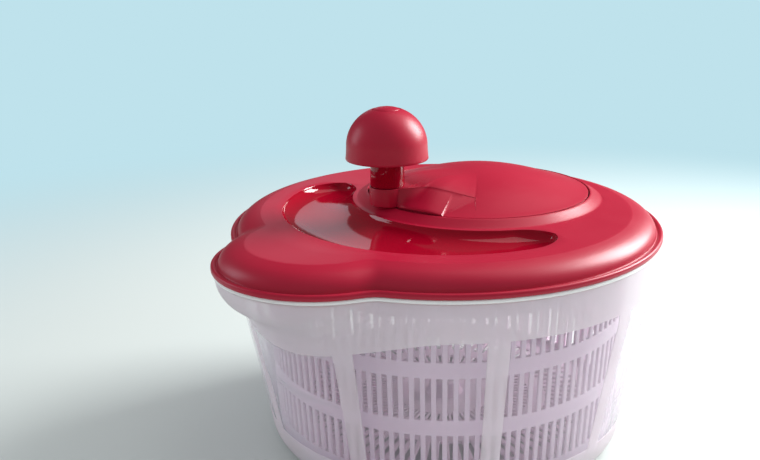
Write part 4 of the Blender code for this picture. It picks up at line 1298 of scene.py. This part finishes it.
    def hub(self, palette: Palette) -> None:
        """Make the floor's middle and the hub that turns on the bowl's spike."""
        under = self.floor - self.wall
        profile = [(0.0, 26.3 * MM), (7 * MM, 26.3 * MM), (8.6 * MM, 25.6 * MM), (9.5 * MM, 24 * MM),
                   (10.4 * MM, 18.6 * MM), (12 * MM, 16.4 * MM), (14 * MM, self.floor),
                   (21 * MM, self.floor), (21 * MM, under), (9.5 * MM, under), (9.5 * MM, 9 * MM),
                   (7.3 * MM, 9 * MM), (7.3 * MM, 24.3 * MM), (0.0, 24.3 * MM)]
        hub = turned("basket_hub", profile, Vector((0, 0, 0)), 96, closed=False)
        hub.data.materials.append(palette.basket)
        settle(hub, "basket", ())


# ------------------------------------------------------------------ mechanism

@dataclass
class Mechanism:
    """The gear train, bearings and fasteners, which keep their CAD solids."""

    acetal_nodes: tuple = ("basket_bush", "crank_bush", "pinion_bush", "ring_gear", "drive_pinion")
    white_nodes: tuple = ("gear_tray", "drive_plate")

    def dress(self, palette: Palette) -> None:
        """Give every CAD node that stays its finish.

        Args:
            palette: the finished materials.
        """
        for name, node in frame["nodes"].items():
            if node.hide_render:
                continue
            if name in self.acetal_nodes:
                finish = palette.acetal
            elif name in self.white_nodes:
                finish = palette.white
            else:
                finish = palette.steel
            node.data.materials.clear()
            node.data.materials.append(finish)
            node.data.shade_smooth()
            node.data.set_sharp_from_angle(angle=math.radians(32))
            LOG.info("%s keeps its solid and gets %s", name, finish.name)


# ------------------------------------------------------------------ studio

@dataclass
class Studio:
    """Floor, surroundings, soft lamps and the camera."""

    camera_place: tuple = (0.3516, -0.3918, 0.2862)
    yaw: float = math.radians(44.513)
    pitch: float = math.radians(16.931)
    roll: float = math.radians(0.549)
    lens: float = 42.04
    shift: float = -0.0344
    fill: float = 0.62
    mirrored_fill: float = 0.09
    floor_half: float = 15.0
    floor_gap: float = 0.0004
    fade_start: float = 0.26
    fade_end: float = 0.95
    floor_colour: str = "#cbd3cf"
    sky_colour: str = "#bfe2ec"

    def camera(self) -> None:
        """Set up the camera."""
        data = bpy.data.cameras.new("camera")
        data.sensor_width = 36
        data.lens = self.lens
        data.shift_x = self.shift
        data.clip_start = 0.01
        eye = bpy.data.objects.new("camera", data)
        turn = (Matrix.Rotation(self.yaw, 4, "Z") @ Matrix.Rotation(math.pi / 2 - self.pitch, 4, "X")
                @ Matrix.Rotation(-self.roll, 4, "Z"))
        eye.matrix_world = Matrix.Translation(self.camera_place) @ turn
        bpy.context.scene.collection.objects.link(eye)
        bpy.context.scene.camera = eye

    def lamp(self, name: str, right: float, back: float, up: float, size: Point, power: float,
             colour: str) -> None:
        """Add a soft rectangular lamp aimed at the lid.

        Args:
            name: the lamp's name.
            right: how far right of the object, seen from the camera.
            back: how far behind it.
            up: how high.
            size: its width and height.
            power: in watts.
            colour: an sRGB hex colour.
        """
        rightward = Vector((math.cos(self.yaw), math.sin(self.yaw), 0))
        backward = Vector((-math.sin(self.yaw), math.cos(self.yaw), 0))
        data = bpy.data.lights.new(name, "AREA")
        data.shape = "RECTANGLE"
        data.size, data.size_y = size
        data.energy = power
        data.color = linear(colour)
        lamp = bpy.data.objects.new(name, data)
        place = rightward * right + backward * back + Vector((0, 0, up))
        aim = Vector((0, 0, 0.13)) - place
        lamp.matrix_world = Matrix.Translation(place) @ aim.to_track_quat("-Z", "Y").to_matrix().to_4x4()
        bpy.context.scene.collection.objects.link(lamp)

    def looked_at(self, tree: bpy.types.NodeTree) -> bpy.types.NodeSocket:
        """1 for what is looked at directly or through a clear wall, 0 for light and reflections."""
        path = add_node(tree, "ShaderNodeLightPath").outputs
        return add_node(tree, "ShaderNodeMath", {"operation": "ADD", "use_clamp": True}, {
            0: path["Is Camera Ray"], 1: path["Is Transmission Ray"]}).outputs[0]

    def floor(self) -> None:
        """Lay a plain pale floor that turns to the backdrop's pale blue far from the object."""
        mesh = bpy.data.meshes.new("floor")
        half = self.floor_half
        mesh.from_pydata([(-half, -half, 0), (half, -half, 0), (half, half, 0), (-half, half, 0)], [],
                         [(0, 1, 2, 3)])
        plane = bpy.data.objects.new("floor", mesh)
        bpy.context.scene.collection.objects.link(plane)
        plane.location.z = -self.floor_gap
        paint = bpy.data.materials.new("matt_white_laminate")
        paint.use_nodes = True
        tree = paint.node_tree
        tree.nodes.clear()
        shader = add_node(tree, "ShaderNodeBsdfPrincipled", inputs={
            "Base Color": (*linear(self.floor_colour), 1), "Roughness": 0.6})
        place = add_node(tree, "ShaderNodeTexCoord").outputs["Object"]
        away = add_node(tree, "ShaderNodeVectorMath", {"operation": "LENGTH"}, {0: place})
        fade = add_node(tree, "ShaderNodeMapRange", {"interpolation_type": "SMOOTHSTEP"}, {
            "Value": away.outputs["Value"], "From Min": self.fade_start, "From Max": self.fade_end})
        share = add_node(tree, "ShaderNodeMath", {"operation": "MULTIPLY"}, {
            0: fade.outputs["Result"], 1: self.looked_at(tree)})
        far = add_node(tree, "ShaderNodeEmission", inputs={"Color": (*linear(self.sky_colour), 1)})
        both = add_node(tree, "ShaderNodeMixShader", inputs={
            0: share.outputs[0], 1: shader.outputs[0], 2: far.outputs[0]})
        add_node(tree, "ShaderNodeOutputMaterial", inputs={"Surface": both.outputs[0]})
        mesh.materials.append(paint)

    def surroundings(self) -> None:
        """Fill the room with even light, and keep it pale where the camera looks."""
        world = bpy.data.worlds.new("studio")
        bpy.context.scene.world = world
        world.use_nodes = True
        tree = world.node_tree
        tree.nodes.clear()
        path = add_node(tree, "ShaderNodeLightPath").outputs
        level = add_node(tree, "ShaderNodeMapRange", inputs={
            "Value": path["Is Glossy Ray"], "To Min": self.fill, "To Max": self.mirrored_fill})
        fill = add_node(tree, "ShaderNodeBackground", inputs={
            "Color": (*linear("#f6f6fa"), 1), "Strength": level.outputs["Result"]})
        seen = add_node(tree, "ShaderNodeBackground", inputs={"Color": (*linear(self.sky_colour), 1)})
        both = add_node(tree, "ShaderNodeMixShader", inputs={
            0: self.looked_at(tree), 1: fill.outputs[0], 2: seen.outputs[0]})
        add_node(tree, "ShaderNodeOutputWorld", inputs={"Surface": both.outputs[0]})

    def build(self) -> None:
        """Set up everything round the object."""
        self.camera()
        self.floor()
        self.surroundings()
        self.lamp("right_softbox", 0.94, 0.46, 0.72, (0.6, 0.7), 27.0, "#ffffff")
        self.lamp("top_softbox", 0.55, 0.45, 1.5, (1.0, 0.9), 2.6, "#fffdfb")
        self.lamp("back_card", -0.30, 1.45, 0.56, (0.45, 0.32), 0.28, "#eaf2ff")
        self.lamp("left_window", -1.1, 0.25, 0.5, (0.45, 0.6), 2.2, "#eef4ff")
        bpy.context.scene.view_settings.view_transform = "Standard"


def main() -> None:
    """Build every sub-assembly, dress the mechanism and set up the studio."""
    logging.basicConfig(level=logging.INFO, format="%(message)s")
    palette = Palette()
    for part in (LidCover(), CrankCover(), Knob(), Bowl(), Basket()):
        part.build(palette)
    Mechanism().dress(palette)
    Studio().build()
    bpy.context.view_layer.update()
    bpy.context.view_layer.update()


if __name__ == "__main__":
    main()
